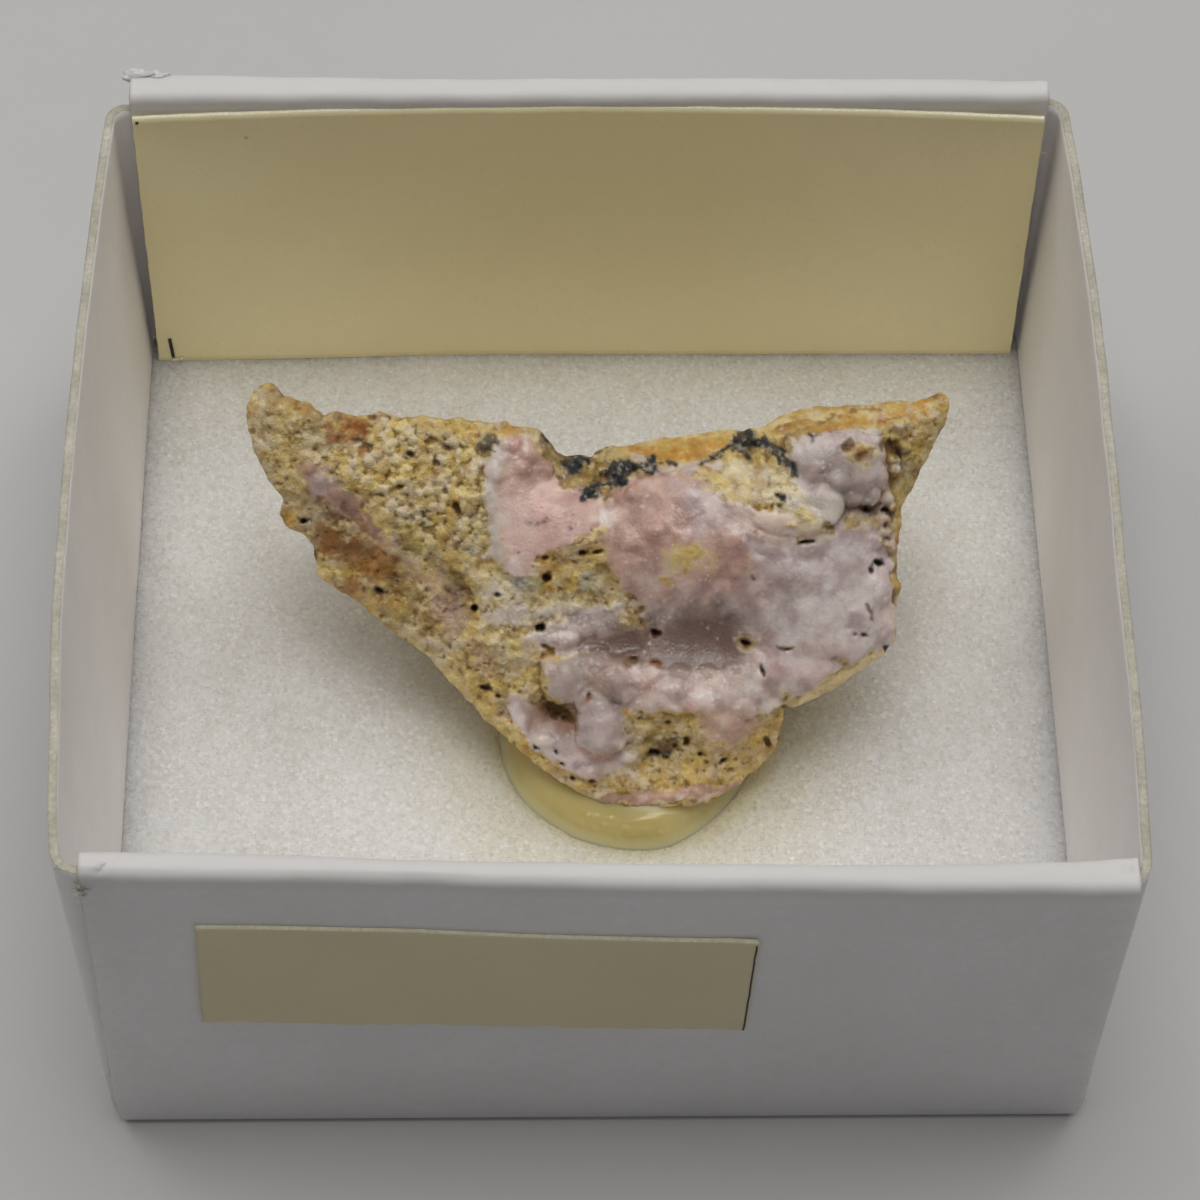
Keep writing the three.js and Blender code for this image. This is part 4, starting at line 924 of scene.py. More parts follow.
class Face:
    """The stone's relief and colours on a fine grid over the plane of its face."""

    STEP = 0.05

    def __init__(self):
        self.u0, self.v0 = -15.3, -9.6
        u = np.arange(self.u0, 15.35, self.STEP)
        v = np.arange(self.v0, 9.8, self.STEP)
        self.u, self.v = np.meshgrid(u, v, indexing="ij")
        flat = np.zeros_like(self.u)
        x, y = seen(face_point(self.u, self.v, flat))
        broad = spline(HEIGHTS, x, y)
        broad = np.clip(broad, -2.5, 3)
        self.x, self.y = seen(face_point(self.u, self.v, broad))
        rx, ry = seen(face_point(self.u, self.v, flat - 0.5))
        wander = 2.2 * noise(self.u / 0.45, self.v / 0.45, flat, 3)
        wander += 1.3 * noise(self.u / 0.2, self.v / 0.2, flat, 4)
        self.rim = (area_distance(OUTLINE, rx, ry) + 0.6 * wander) / PX_PER_MM
        # A gently wandering copy of the coordinates keeps listed borders from looking drawn.
        self.wx = self.x + 3.0 * noise(self.u / 0.7, self.v / 0.7, flat, 5) + wander * 0.6
        self.wy = self.y + 3.0 * noise(self.u / 0.7, self.v / 0.7, flat + 3, 6) + wander * 0.6
        self.paint()
        self.relief(broad)
        self.tint()

    def window(self, cx, cy, reach):
        near = np.abs(self.x - cx) < reach
        near &= np.abs(self.y - cy) < reach
        rows, cols = np.nonzero(near.any(1))[0], np.nonzero(near.any(0))[0]
        if len(rows) == 0 or len(cols) == 0:
            return slice(0, 0), slice(0, 0)
        return slice(rows[0], rows[-1] + 1), slice(cols[0], cols[-1] + 1)

    def paint(self):
        shape = self.u.shape
        self.colour = np.empty(shape + (3,))
        self.colour[...] = COLOURS["tan"]
        self.crust = np.zeros(shape)
        flat = np.zeros(shape)
        rough = fbm(self.u / 0.35, self.v / 0.35, flat, 21, 3)
        for name, kind, form, soft, wander, strength, crust in ZONES:
            if kind == "area":
                d = area_distance(form, self.wx, self.wy)
            elif kind == "line":
                d = line_distance(form, self.wx, self.wy) - soft / 2
                soft = max(soft * 0.35, 2)
            else:
                cx, cy, rx, ry = form
                d = (oval(self.wx, self.wy, cx, cy, rx, ry) - 1) * min(rx, ry)
            share = strength * ramp(d + wander * rough, soft * 0.5, -soft * 0.5)
            self.colour = mix(self.colour, np.array(COLOURS[name]), share[..., None])
            if crust is not None:
                self.crust = mix(self.crust, crust, ramp(share, 0.1, 0.6))
        self.dark, self.film = np.zeros(shape), np.zeros(shape)
        torn = fbm(self.u / 0.22, self.v / 0.22, flat, 23, 3, 0.65)
        for kind, form, width in DARK:
            middle = np.mean(form, axis=0)
            reach = np.abs(np.array(form) - middle).max() + 12
            w = self.window(*middle, reach)
            x, y = self.wx[w], self.wy[w]
            x, y = mix(x, self.x[w], 0.6), mix(y, self.y[w], 0.6)
            if kind == "area":
                d = area_distance(form, x, y) - width * 0.5 + 7.5 * torn[w] + 2.0 * rough[w]
            elif width > 1.8:
                d = line_distance(form, x, y) - width * (0.75 + 0.9 * rough[w]) + 3.6 * torn[w]
            else:
                d = line_distance(form, x, y) - width * (0.75 + 0.5 * rough[w]) + 2.2 * torn[w]
            # The films along the col are blacker than the specks elsewhere.
            first_x, first_y = form[0]
            strength = 1 if first_y < 500 < first_x else 0.85
            self.dark[w] = np.maximum(self.dark[w], ramp(d, 1.2, -1.0) * strength)
            if kind == "area" or width > 2.5:
                self.film[w] = np.maximum(self.film[w], ramp(d, 1.2, -2.0))

    def relief(self, broad):
        u, v = self.u, self.v
        flat = np.zeros_like(u)
        h = broad.copy()
        for form, thick, radius in SHEETS:
            t = np.clip(-area_distance(form, self.wx, self.wy) / radius, 0, 1)
            h += thick * np.sqrt(1 - (1 - t) ** 2)
        base = blur(h, 5)
        bend_x = 3.0 * noise(u / 0.9, v / 0.9, flat, 11)
        bend_y = 3.0 * noise(u / 0.9, v / 0.9, flat, 12)
        for cx, cy, rx, ry, rise in LOBES:
            w = self.window(cx, cy, max(rx, ry) + 8)
            x = mix(self.wx[w], self.x[w], 0.5) + bend_x[w] * min(rx / 20, 1.2)
            y = mix(self.wy[w], self.y[w], 0.5) + bend_y[w] * min(ry / 20, 1.2)
            d = np.clip(oval(x, y, cx, cy, rx, ry), 0, 1)
            i, j = np.unravel_index(np.argmin((self.x - cx) ** 2 + (self.y - cy) ** 2), u.shape)
            deep = max(0.8 * min(rx, ry) / PX_PER_MM, rise)
            cap = base[i, j] + rise - deep + deep * np.sqrt(1 - d * d)
            cap = np.where(d < 1, cap, -9)
            h[w] = join_high(h[w], cap, 0.10 + 0.10 * min(rx, ry) / 25)
        crust = ramp(self.crust, 0.2, 0.9)
        self.crust_share = crust
        matrix = 1 - crust
        smooth = flat.copy()
        for cx, cy, rx, ry in SMOOTH:
            smooth = np.maximum(smooth, ramp(oval(self.wx, self.wy, cx, cy, rx, ry), 1.15, 0.85))
        self.lively = 1 - 0.8 * smooth
        # Botryoidal swellings of the crust in three sizes.
        wu = u + 0.28 * noise(u / 0.8, v / 0.8, flat, 8)
        wv = v + 0.28 * noise(u / 0.8, v / 0.8, flat + 5, 8)
        patchy = ramp(noise(u / 2.1, v / 2.1, flat, 41), -0.6, 0.4)
        (big, mark), (mid, mark2), (small, mark3) = (
            domes(wu, wv, size, seed) for size, seed in ((0.95, 42), (0.46, 43), (0.24, 44))
        )
        self.domes = big * (0.4 + mark) + mid * (0.4 + mark2) + 0.6 * small
        self.tone = 0.5 * mark + 0.8 * mark2 + 0.4 * mark3 - 0.85
        swelling = 0.19 * big * (0.4 + mark) + 0.13 * mid * (0.3 + mark2)
        h += crust * self.lively * (0.4 + 0.6 * patchy) * swelling
        h += crust * (0.35 + 0.65 * self.lively) * 0.035 * small
        h += crust * (0.3 + 0.7 * self.lively) * 0.05 * fbm(u / 1.3, v / 1.3, flat, 49, 3)
        # Drusy grains of two sizes, and the finer grain and pores of the rest of the matrix.
        drusy = matrix * ramp(area_distance(DRUSY, self.wx, self.wy), 12, -12)
        wu = u + 0.12 * noise(u / 0.3, v / 0.3, flat, 9)
        coarse, mark = grains(wu, v, 0.40, 45, 0.85)
        lesser, mark2 = grains(wu, v, 0.23, 46, 0.75)
        self.drusy = drusy
        self.grain = np.maximum(coarse, 0.75 * lesser)
        self.grain_mark = np.where(coarse > 0.75 * lesser, mark, mark2)
        h += drusy * 0.26 * (self.grain - 0.45)
        plain = matrix * (1 - drusy)
        near, _, mark = cells(u / 0.19, v / 0.19, 47)
        self.fine = np.sqrt(np.clip(1 - near * near * 1.4, 0, 1)) * (0.3 + mark)
        self.gritty = 0.15 + 0.6 * ramp(noise(u / 1.4, v / 1.4, flat, 50), 0.0, 0.6)
        h += plain * (0.05 * (self.fine - 0.4) + 0.16 * self.gritty * (self.grain - 0.45))
        h += matrix * 0.24 * fbm(u / 1.0, v / 1.0, flat, 47, 5, 0.55)
        ridges = 1 - np.abs(fbm(u / 0.7, v / 0.7, flat, 51, 3))
        h += plain * 0.10 * (ramp(ridges, 0.6, 1.0) - 0.5)
        pores = ramp(fbm(u / 0.24, v / 0.24, flat, 48, 3, 0.6), 0.34, 0.58)
        self.pores = plain * pores
        h -= 0.13 * self.pores
        ragged = 0.30 * noise(u / 0.14, v / 0.14, flat, 53) + 0.15 * noise(u / 0.35, v / 0.35, flat, 54)
        near, _, mark = cells(u / 0.15, v / 0.15, 57)
        beaded = ramp(area_distance(BEADED, self.wx, self.wy), 8, -6)
        self.beads = beaded * ramp(near, 0.42, 0.25) * ramp(mark, 0.45, 0.6)
        h += 0.045 * self.beads
        self.pits = flat.copy()
        for cx, cy, rx, ry, turn, depth in HOLES:
            w = self.window(cx, cy, 1.8 * max(rx, ry) + 4)
            x, y = mix(self.wx[w], self.x[w], 0.5), mix(self.wy[w], self.y[w], 0.5)
            d = oval(x, y, cx, cy, rx, ry, turn) + ragged[w]
            h[w] -= depth * ramp(d, 1.2, 0.35)
            self.pits[w] = np.maximum(self.pits[w], ramp(d, 1.1, 0.5) * min(depth / 0.35, 1))
        near, _, mark = cells(u / 0.21, v / 0.21, 58)
        h += self.film * (0.16 * mark * np.sqrt(np.clip(1 - near * near, 0, 1)) - 0.02)
        # A rim stands round the round pit in the lavender crust.
        d = oval(self.x, self.y, *ROUND_PIT, 11.5, 10)
        h += 0.05 * np.exp(-(((d - 1) / 0.16) ** 2))
        # The rim rolls off, further along the top right where the broken top side shows.
        bevel = ramp(self.x, 600, 680) * ramp(self.y, 470, 440)
        plateau = area_distance(PLATEAU, self.x, self.y)
        self.streaky = ramp(plateau, 3, -3)
        along = self.x * 0.985 - (self.y - 430) * 0.17
        across = self.y + self.x * 0.13
        self.streak = 0.6 * fbm(along / 22, across / 5.0, flat, 55, 4, 0.65)
        self.streak = self.streak + 0.5 * fbm(self.x / 9, self.y / 6, flat, 56, 3, 0.6)
        h += self.streaky * 0.10 * self.streak
        h -= 1.15 * ramp(plateau, 0, -1) * np.clip(-plateau / 26, 0, 1.2)
        self.cut = ramp(area_distance(CUT_FACE, self.x, self.y), 1.5, -2)
        inner = np.clip(-self.rim, 0, 9)
        roll = np.clip(1 - inner / 0.8, 0, 1)
        cut = ramp(self.x, 785, 800) * ramp(self.y, 630, 645)
        h -= 0.27 * (1 - 0.6 * bevel) * (1 - 0.93 * cut) * (1 - np.sqrt(1 - roll * roll + 1e-9))
        self.h = h

    def tint(self):
        u, v = self.u, self.v
        flat = np.zeros_like(u)
        c = self.colour
        crust = self.crust_share[..., None]
        hollow = np.clip(blur(self.h, 4) - self.h, -0.25, 0.6)
        wide = np.clip(blur(self.h, 16) - self.h, -0.5, 1.0)
        mottle = fbm(u / 0.45, v / 0.45, flat, 61, 4, 0.62)
        large = fbm(u / 1.8, v / 1.8, flat, 62, 3)
        fine = noise(u / 0.11, v / 0.11, flat, 63)
        speck = lattice(np.floor(u / 0.09), np.floor(v / 0.09), flat, 65)
        # Matrix: cream and yellow grains with olive and brown between them, that brown partly painted shade.
        grain = mix(self.gritty, 1, self.drusy)
        patches = fbm(u / 1.0, v / 1.0, flat, 67, 3, 0.55)
        light = ramp(c @ np.array([0.3, 0.6, 0.1]), 0.15, 0.42)
        m = c * (1 + 0.34 * mottle + 0.12 * fine + 0.14 * large + 0.22 * patches)[..., None]
        dusty = ramp(fbm(u / 0.8, v / 0.8, flat, 68, 2), 0.2, 0.5)
        m = laid(m, (0.50, 0.38, 0.26), 0.45 * light * dusty)
        creamy = (0.02 + 0.58 * light) * ramp(mottle + 0.5 * patches, 0.12, 0.5) * ramp(fine, -0.9, 0.5)
        m = laid(m, np.array(COLOURS["cream"]) * 1.06, creamy)
        m = laid(m, m * (0.60, 0.52, 0.34), 0.75 * ramp(-mottle - 0.5 * patches, 0.12, 0.6))
        on = grain * (0.15 + 0.85 * light) * ramp(self.grain, 0.32, 0.62)
        kind = self.grain_mark + 0.25 * mottle
        m = laid(m, (0.62, 0.45, 0.15), on * ramp(kind, 0.30, 0.40) * 0.75)
        m = laid(m, (0.84, 0.73, 0.47), on * ramp(kind, 0.58, 0.72) * 0.8)
        m = laid(m, (0.52, 0.37, 0.31), on * ramp(kind, 0.26, 0.20) * 0.7)
        m = laid(m, (0.64, 0.42, 0.13), on * ramp(np.abs(kind - 0.47), 0.06, 0.02) * 0.55)
        rusty = ramp(fbm(u / 0.9, v / 0.9, flat, 64, 4), 0.15, 0.5) * (0.10 + 0.4 * light)
        m = laid(m, (0.46, 0.26, 0.07), rusty)
        # The darkening in hollows and between drusy grains is painted shade; the brown in deep hollows and
        # pores is partly painted shade.
        m = laid(m, m * (0.52, 0.42, 0.24), (0.45 + 0.3 * self.drusy) * ramp(hollow, 0.015, 0.09))
        gap = self.drusy * ramp(self.grain, 0.40, 0.15)
        m = laid(m, (0.13, 0.085, 0.03), 0.85 * gap)
        m = laid(m, COLOURS["brown"], 0.7 * np.maximum(ramp(hollow, 0.07, 0.2), 0.75 * self.pores))
        m = laid(m, COLOURS["white"], (speck > 0.965) * (0.1 + 0.35 * light))
        warm = ramp(fbm(u / 0.6, v / 0.6, flat, 69, 3), -0.25, 0.25)[..., None]
        m = m * mix(np.array([0.97, 0.97, 1.10]), np.array([1.04, 0.985, 0.80]), warm)
        # The broken face is grained along its slope.
        along, across = self.x * 0.86 - self.y * 0.5, self.x * 0.5 + self.y * 0.86
        grain = fbm(along / 16, across / 4.5, flat, 70, 3)[..., None]
        furrow = 0.75 * ramp(-grain, 0.02, 0.35)
        slate = mix(np.array([0.86, 0.67, 0.38]), np.array([0.58, 0.38, 0.14]), furrow)
        m = mix(m, slate * (1 + 0.3 * grain + 0.2 * mottle[..., None]), 0.95 * self.cut[..., None])
        # The fibrous top side is streaked along its length.
        streak = self.streak[..., None]
        t = c * np.array([0.98, 0.90, 0.72]) * (1 + 0.4 * streak + 0.25 * mottle[..., None])
        pale = ramp(self.x, 690, 800)[..., None]
        bright = ramp(streak + 0.3 * mottle[..., None], 0.02, 0.3)
        t = mix(t, np.array([0.84, 0.69, 0.38]), (0.45 + 0.35 * pale) * bright)
        t = mix(t, np.array([0.56, 0.22, 0.03]), 0.7 * ramp(-streak, 0.10, 0.32))
        t = mix(t, np.array([0.70, 0.64, 0.58]), 0.6 * pale * ramp(mottle[..., None] - streak, 0.35, 0.6))
        t = mix(t, np.array(COLOURS["brown"]) * 1.3, 0.6 * ramp(-streak, 0.38, 0.55))
        m = mix(m, t * 0.94, 0.8 * self.streaky[..., None])
        # Crust: clouded all through, painted paler on its domes as painted highlight, painted deeper between
        # them and in wide hollows as painted shade, and warmed with rust in its hollows.
        cloud = fbm(u / 0.7 + 3, v / 0.7, flat, 66, 4, 0.6)
        k = c * (1 + 0.20 * cloud + 0.08 * large + 0.05 * fine)[..., None]
        k = k * (1 + self.lively * 0.16 * self.tone)[..., None]
        white = self.lively * ramp(self.domes, 0.0, 0.5) * ramp(cloud, -0.25, 0.35)
        k = mix(k, np.minimum(np.array([0.74, 0.68, 0.66]), k * 1.40), (0.5 * white)[..., None])
        k = laid(k, k * (0.72, 0.66, 0.70), 0.55 * self.lively * ramp(-self.domes, -0.05, 0.4))
        k = laid(k, k * (0.86, 0.76, 0.80), 0.6 * ramp(-cloud, 0.1, 0.45))
        k = mix(k, k * np.array([0.80, 0.70, 0.66]), ramp(wide, 0.05, 0.4)[..., None])
        k = laid(k, COLOURS["rust"], 0.5 * ramp(hollow, 0.10, 0.3))
        k = laid(k, (0.85, 0.80, 0.78), (speck > 0.985) * 0.5)
        c = mix(m, k, crust)
        c = laid(c, (0.74, 0.72, 0.66), 0.75 * self.beads)
        # Pits are painted brown, near black where deepest: partly painted shade.
        c = laid(c, (0.20, 0.115, 0.045), 0.8 * ramp(self.pits, 0.1, 0.8))
        c = laid(c, (0.045, 0.024, 0.012), 0.75 * ramp(self.pits, 0.7, 1.0))
        dusted = self.film * ramp(mottle, 0.15, 0.5)
        soot = laid(np.array([0.016, 0.019, 0.027]), (0.085, 0.07, 0.045), dusted)
        # A few grains stand pale in the films.
        crumbs = self.film * ramp(fbm(u / 0.16, v / 0.16, flat, 90, 2), 0.28, 0.45)
        soot = laid(soot, (0.42, 0.38, 0.30), 0.7 * crumbs)
        c = laid(c, soot, np.clip(self.dark * (0.975 + 0.08 * fine), 0, 1))
        self.colour = np.clip(c, 0.004, 0.9)

    def sample(self, field, u, v):
        i = np.clip((u - self.u0) / self.STEP, 0, field.shape[0] - 1.001)
        j = np.clip((v - self.v0) / self.STEP, 0, field.shape[1] - 1.001)
        a, b = i.astype(int), j.astype(int)
        fi, fj = i - a, j - b
        if field.ndim == 3:
            fi, fj = fi[..., None], fj[..., None]
        low = mix(field[a, b], field[a + 1, b], fi)
        high = mix(field[a, b + 1], field[a + 1, b + 1], fi)
        return mix(low, high, fj)


def stone_solid(face, step):
    """The signed field of the stone: negative inside."""
    u = np.arange(-15.2, 15.25, step)
    v = np.arange(-9.5, 9.7, step)
    n = np.arange(-8.4, 3.6, step)
    U, V = np.meshgrid(u, v, indexing="ij")
    top = face.sample(face.h, U, V)
    rim = face.sample(face.rim, U, V)
    body = 7.4 - 3.2 * (U / 14) ** 2
    beside = np.clip(np.abs(U - 1.75) - 4.2, 0, None)
    floor = SEAT - SUNK + 0.02 + 0.3 * beside
    room = (CENTRE[2] + V * math.cos(RISE) - floor) / math.sin(RISE)
    back = -np.maximum(np.minimum(body, room), 0.8)
    N = n[None, None, :].astype(np.float32)
    f = (N - top[:, :, None]).astype(np.float32)
    side = rim[:, :, None] + 0.26 * np.clip(-N - 0.9, 0, None)
    side = side.astype(np.float32)
    deep = (back[:, :, None] - N).astype(np.float32) * 0.9
    edge = np.maximum(side, deep)
    close = np.abs(edge) < 0.7
    i, j, k = np.nonzero(close)
    pu, pv, pn = u[i], v[j], n[k]
    lumps = 0.30 * fbm(pu / 1.7, pv / 1.7, pn / 1.7, 71, 3)
    lumps = lumps + 0.15 * fbm(pu / 0.45, pv / 0.45, pn / 0.45, 72, 3, 0.6)
    away = ramp(top[i, j] - pn, 0.15, 0.9)
    edge[i, j, k] += (lumps * away).astype(np.float32)
    f = np.maximum(f, edge)
    level = SEAT - SUNK - (CENTRE[2] + V[:, :, None] * math.cos(RISE) + N * math.sin(RISE))
    return np.maximum(f, level.astype(np.float32)), (u[0], v[0], n[0])


def surface_of(f, origin, step):
    """Surface nets: one point in each cell that the surface crosses."""
    inside = f < 0
    count = np.zeros(tuple(s - 1 for s in f.shape), np.uint8)
    corners = [(a, b, c) for a in (0, 1) for b in (0, 1) for c in (0, 1)]
    for a, b, c in corners:
        count += inside[a : f.shape[0] - 1 + a, b : f.shape[1] - 1 + b, c : f.shape[2] - 1 + c]
    active = (count > 0) & (count < 8)
    cell = np.argwhere(active)
    number = np.full(active.shape, -1, np.int32)
    number[active] = np.arange(len(cell))
    values = {k: f[cell[:, 0] + k[0], cell[:, 1] + k[1], cell[:, 2] + k[2]] for k in corners}
    total, hits = np.zeros((len(cell), 3)), np.zeros(len(cell))
    for a in corners:
        for axis in range(3):
            if a[axis]:
                continue
            b = tuple(1 if i == axis else a[i] for i in range(3))
            va, vb = values[a], values[b]
            cross = (va < 0) != (vb < 0)
            t = np.where(cross, va / np.where(cross, va - vb, 1), 0)
            place = np.tile(np.array(a, float), (len(cell), 1))
            place[:, axis] = t
            total[cross] += place[cross]
            hits[cross] += 1
    verts = (cell + total / hits[:, None]) * step + np.array(origin)
    faces = []
    for axis in range(3):
        first = [slice(None)] * 3
        second = [slice(None)] * 3
        first[axis], second[axis] = slice(0, -1), slice(1, None)
        a, b = inside[tuple(first)], inside[tuple(second)]
        at = np.argwhere(a != b)
        others = [i for i in range(3) if i != axis]
        keep = (at[:, others[0]] > 0) & (at[:, others[1]] > 0)
        keep &= (at[:, others[0]] < f.shape[others[0]] - 1) & (at[:, others[1]] < f.shape[others[1]] - 1)
        at = at[keep]
        quad = []
        for d0, d1 in ((-1, -1), (0, -1), (0, 0), (-1, 0)):
            c = at.copy()
            c[:, others[0]] += d0
            c[:, others[1]] += d1
            quad.append(number[c[:, 0], c[:, 1], c[:, 2]])
        quad = np.stack(quad, 1)
        flip = a[tuple(at.T)] == (axis == 1)
        quad[flip] = quad[flip][:, ::-1]
        faces.append(quad)
    return verts, np.concatenate(faces)


def stone_material():
    m = Nodes("smithsonite_and_matrix")
    colour = m.read("Colour")
    crust = m.read("Crust", "Fac")
    dark = m.read("Film", "Fac")
    speckle = m.noise(9000, 4, 0.65)
    colour = m.blend(m.span(speckle, 0.3, 0.7, 0.0, 0.30), colour, (0.9, 0.85, 0.7), "SOFT_LIGHT")
    moved = m.add("Mapping", 0, {"Vector": m.coords, "Location": (0.31, 0.17, 0.5)})
    specks = m.noise(7200, 3, 0.6, vector=moved)
    bare = m.math("SUBTRACT", 1.0, crust)
    shade = m.math("MULTIPLY", m.span(specks, 0.30, 0.42, 0.22, 0.0), bare)
    colour = m.blend(shade, colour, (0.16, 0.10, 0.04))
    grit = m.noise(7000, 5, 0.7)
    sugar = m.voronoi(11000, "Distance")
    soft = m.noise(3600, 4, 0.55)
    rough_height = m.math("ADD", m.math("MULTIPLY", grit, 0.9), m.math("MULTIPLY", sugar, 0.4))
    crust_height = m.math(
        "ADD", m.math("MULTIPLY", soft, 0.5), m.math("MULTIPLY", m.voronoi(7500), 0.35)
    )
    height = m.add("Mix", 0, {0: crust, 2: rough_height, 3: crust_height})
    normal = m.bump(height, 0.00009, m.span(crust, 0, 1, 0.95, 0.5))
    gloss = m.span(m.noise(3000, 2), 0.35, 0.65, -0.10, 0.10)
    roughness = m.math("ADD", m.span(crust, 0, 1, 0.84, 0.36), gloss, True)
    roughness = m.add("Mix", 0, {0: dark, 2: roughness, 3: 0.55})
    inner = m.math("MULTIPLY", m.span(crust, 0.2, 1, 0.0, 0.5), m.math("SUBTRACT", 1.0, dark))
    m.done(Base_Color=colour, Roughness=roughness, Normal=normal)
    m.done(Subsurface_Weight=inner, Subsurface_Radius=(1.0, 0.6, 0.55), Subsurface_Scale=0.0005)
    return m.done(Coat_Weight=m.math("MULTIPLY", inner, 0.4), Coat_Roughness=0.2)


def thin_out(o, hidden, keep):
    """Collapse edges, first only where hidden is 1, down to keep triangles."""
    group = o.vertex_groups.new(name="hidden")
    group.add([int(i) for i in np.nonzero(hidden > 0.5)[0]], 1.0, "REPLACE")
    for only_hidden in (True, False):
        triangles = sum(len(p.vertices) - 2 for p in o.data.polygons)
        if triangles <= keep:
            break
        mod = o.modifiers.new("thin", "DECIMATE")
        mod.ratio = keep / triangles
        mod.vertex_group = "hidden" if only_hidden else ""
        mod.use_collapse_triangulate = True
        bpy.context.view_layer.update()
        evaluated = o.evaluated_get(bpy.context.evaluated_depsgraph_get())
        thinned = bpy.data.meshes.new_from_object(evaluated)
        o.modifiers.clear()
        o.data = thinned
    o.data.validate()
    o.vertex_groups.clear()


def add_stone():
    face = Face()
    step = CELL
    f, origin = stone_solid(face, step)
    verts, quads = surface_of(f, origin, step)
    u, v, n = verts.T
    top = face.sample(face.h, u, v)
    # Below the rim the face's colours break up instead of running straight down the sides.
    stray = 0.45 * np.clip(top - n - 0.08, 0, 1)
    su = u + stray * noise(u / 0.2, v / 0.2, n / 0.2, 84)
    sv = v + stray * noise(u / 0.2, v / 0.2, n / 0.2, 85)
    colour = face.sample(face.colour, su, sv)
    crust = face.sample(face.crust_share, su, sv)
    dark = face.sample(face.dark, su, sv)
    # Sides and back: broken porous matrix, ochre to olive with rusty bands and cream grains.
    broken = ramp(top - n + 0.22 * noise(u / 0.3, v / 0.3, n / 0.3, 86), 0.22, 0.6)
    a = fbm(u / 1.6, v / 1.6, n / 1.6, 81, 4, 0.6)
    b = fbm(u / 0.4, v / 0.4, n / 0.4, 82, 3, 0.6)
    c = fbm(u / 2.6 + 9, v / 2.6, n / 1.1, 83, 3)
    side = np.array(COLOURS["tan"])[None] * (1 + 0.3 * b)[:, None]
    for tone, share in (
        ("ochre", ramp(a, -0.1, 0.35) * 0.8),
        ("olive", ramp(-a, 0.1, 0.4) * 0.7),
        ("rust", ramp(c, 0.2, 0.5) * 0.7),
        ("cream", ramp(b, 0.15, 0.5) * 0.6),
        ("brown", ramp(-b, 0.25, 0.6) * 0.6),
    ):
        side = laid(side, COLOURS[tone], share)
    colour = laid(colour, side, broken)
    crust = crust * (1 - broken)
    dark = dark * (1 - broken)
    world = face_point(u, v, n)
    attributes = {"Colour": np.clip(colour, 0.004, 0.9), "Crust": crust, "Film": dark}
    o = make("smithsonite_stone", world, quads, [stone_material()], attributes=attributes)
    thin_out(o, ramp(top - n, 0.5, 0.9), STONE_TRIANGLES)
    is_piece_of(o, "specimen")


# ---------------------------------------------------------------- sheets of card
def slab(mid, thick, swell=0.03, fuzz=0.02, seed=1, across=4):
    """A sheet round a grid of middle points: two coated faces (slot 0) and a raw edge (slot 1)."""
    mid = np.asarray(mid, float)
    normal = np.cross(np.gradient(mid, axis=0), np.gradient(mid, axis=1))
    normal /= np.linalg.norm(normal, axis=2, keepdims=True) + 1e-12
    s, t = mid.shape[:2]
    front, back = mid + normal * thick / 2, mid - normal * thick / 2
    index = np.arange(s * t).reshape(s, t)
    a, b, c, d = index[:-1, :-1], index[1:, :-1], index[1:, 1:], index[:-1, 1:]
    faces = [np.stack([a, b, c, d], -1).reshape(-1, 4)]
    faces.append(s * t + np.stack([d, c, b, a], -1).reshape(-1, 4))
    slots = [np.zeros(len(faces[0])), np.zeros(len(faces[1]))]
    loop = [(i, 0) for i in range(s - 1)] + [(s - 1, j) for j in range(t - 1)]
    loop += [(i, t - 1) for i in range(s - 1, 0, -1)] + [(0, j) for j in range(t - 1, 0, -1)]
    loop = np.array(loop)
    inward = np.clip(loop, [1, 1], [s - 2, t - 2])
    here, within = mid[loop[:, 0], loop[:, 1]], mid[inward[:, 0], inward[:, 1]]
    out = here - within
    out /= np.linalg.norm(out, axis=1, keepdims=True) + 1e-12
    f, g = front[loop[:, 0], loop[:, 1]], back[loop[:, 0], loop[:, 1]]
    rows = [index[loop[:, 0], loop[:, 1]]]
    verts = [front.reshape(-1, 3), back.reshape(-1, 3)]
    start = 2 * s * t
    for k in range(1, across):
        share = k / across
        place = mix(f, g, share)
        rag = noise(place[:, 0] / 0.3, place[:, 1] / 0.3, place[:, 2] / 0.3 + share * 2, seed)
        rag += 0.6 * noise(place[:, 0] / 0.12, place[:, 1] / 0.12, place[:, 2] / 0.12 + share * 5, seed + 1)
        place = place + out * (swell * math.sin(math.pi * share) + fuzz * rag)[:, None]
        verts.append(place)
        rows.append(start + np.arange(len(loop)))
        start += len(loop)
    rows.append(s * t + rows[0])
    for top, low in zip(rows[:-1], rows[1:]):
        faces.append(np.stack([top, low, np.roll(low, -1), np.roll(top, -1)], -1))
        slots.append(np.ones(len(loop)))
    return np.concatenate(verts), np.concatenate(faces), np.concatenate(slots)


def together(parts):
    """Several (verts, faces, slots) as one."""
    verts, faces, slots, start = [], [], [], 0
    for v, f, s in parts:
        verts.append(v)
        faces.append(f + start)
        slots.append(s)
        start += len(v)
    return np.concatenate(verts), np.concatenate(faces).astype(np.int64), np.concatenate(slots)


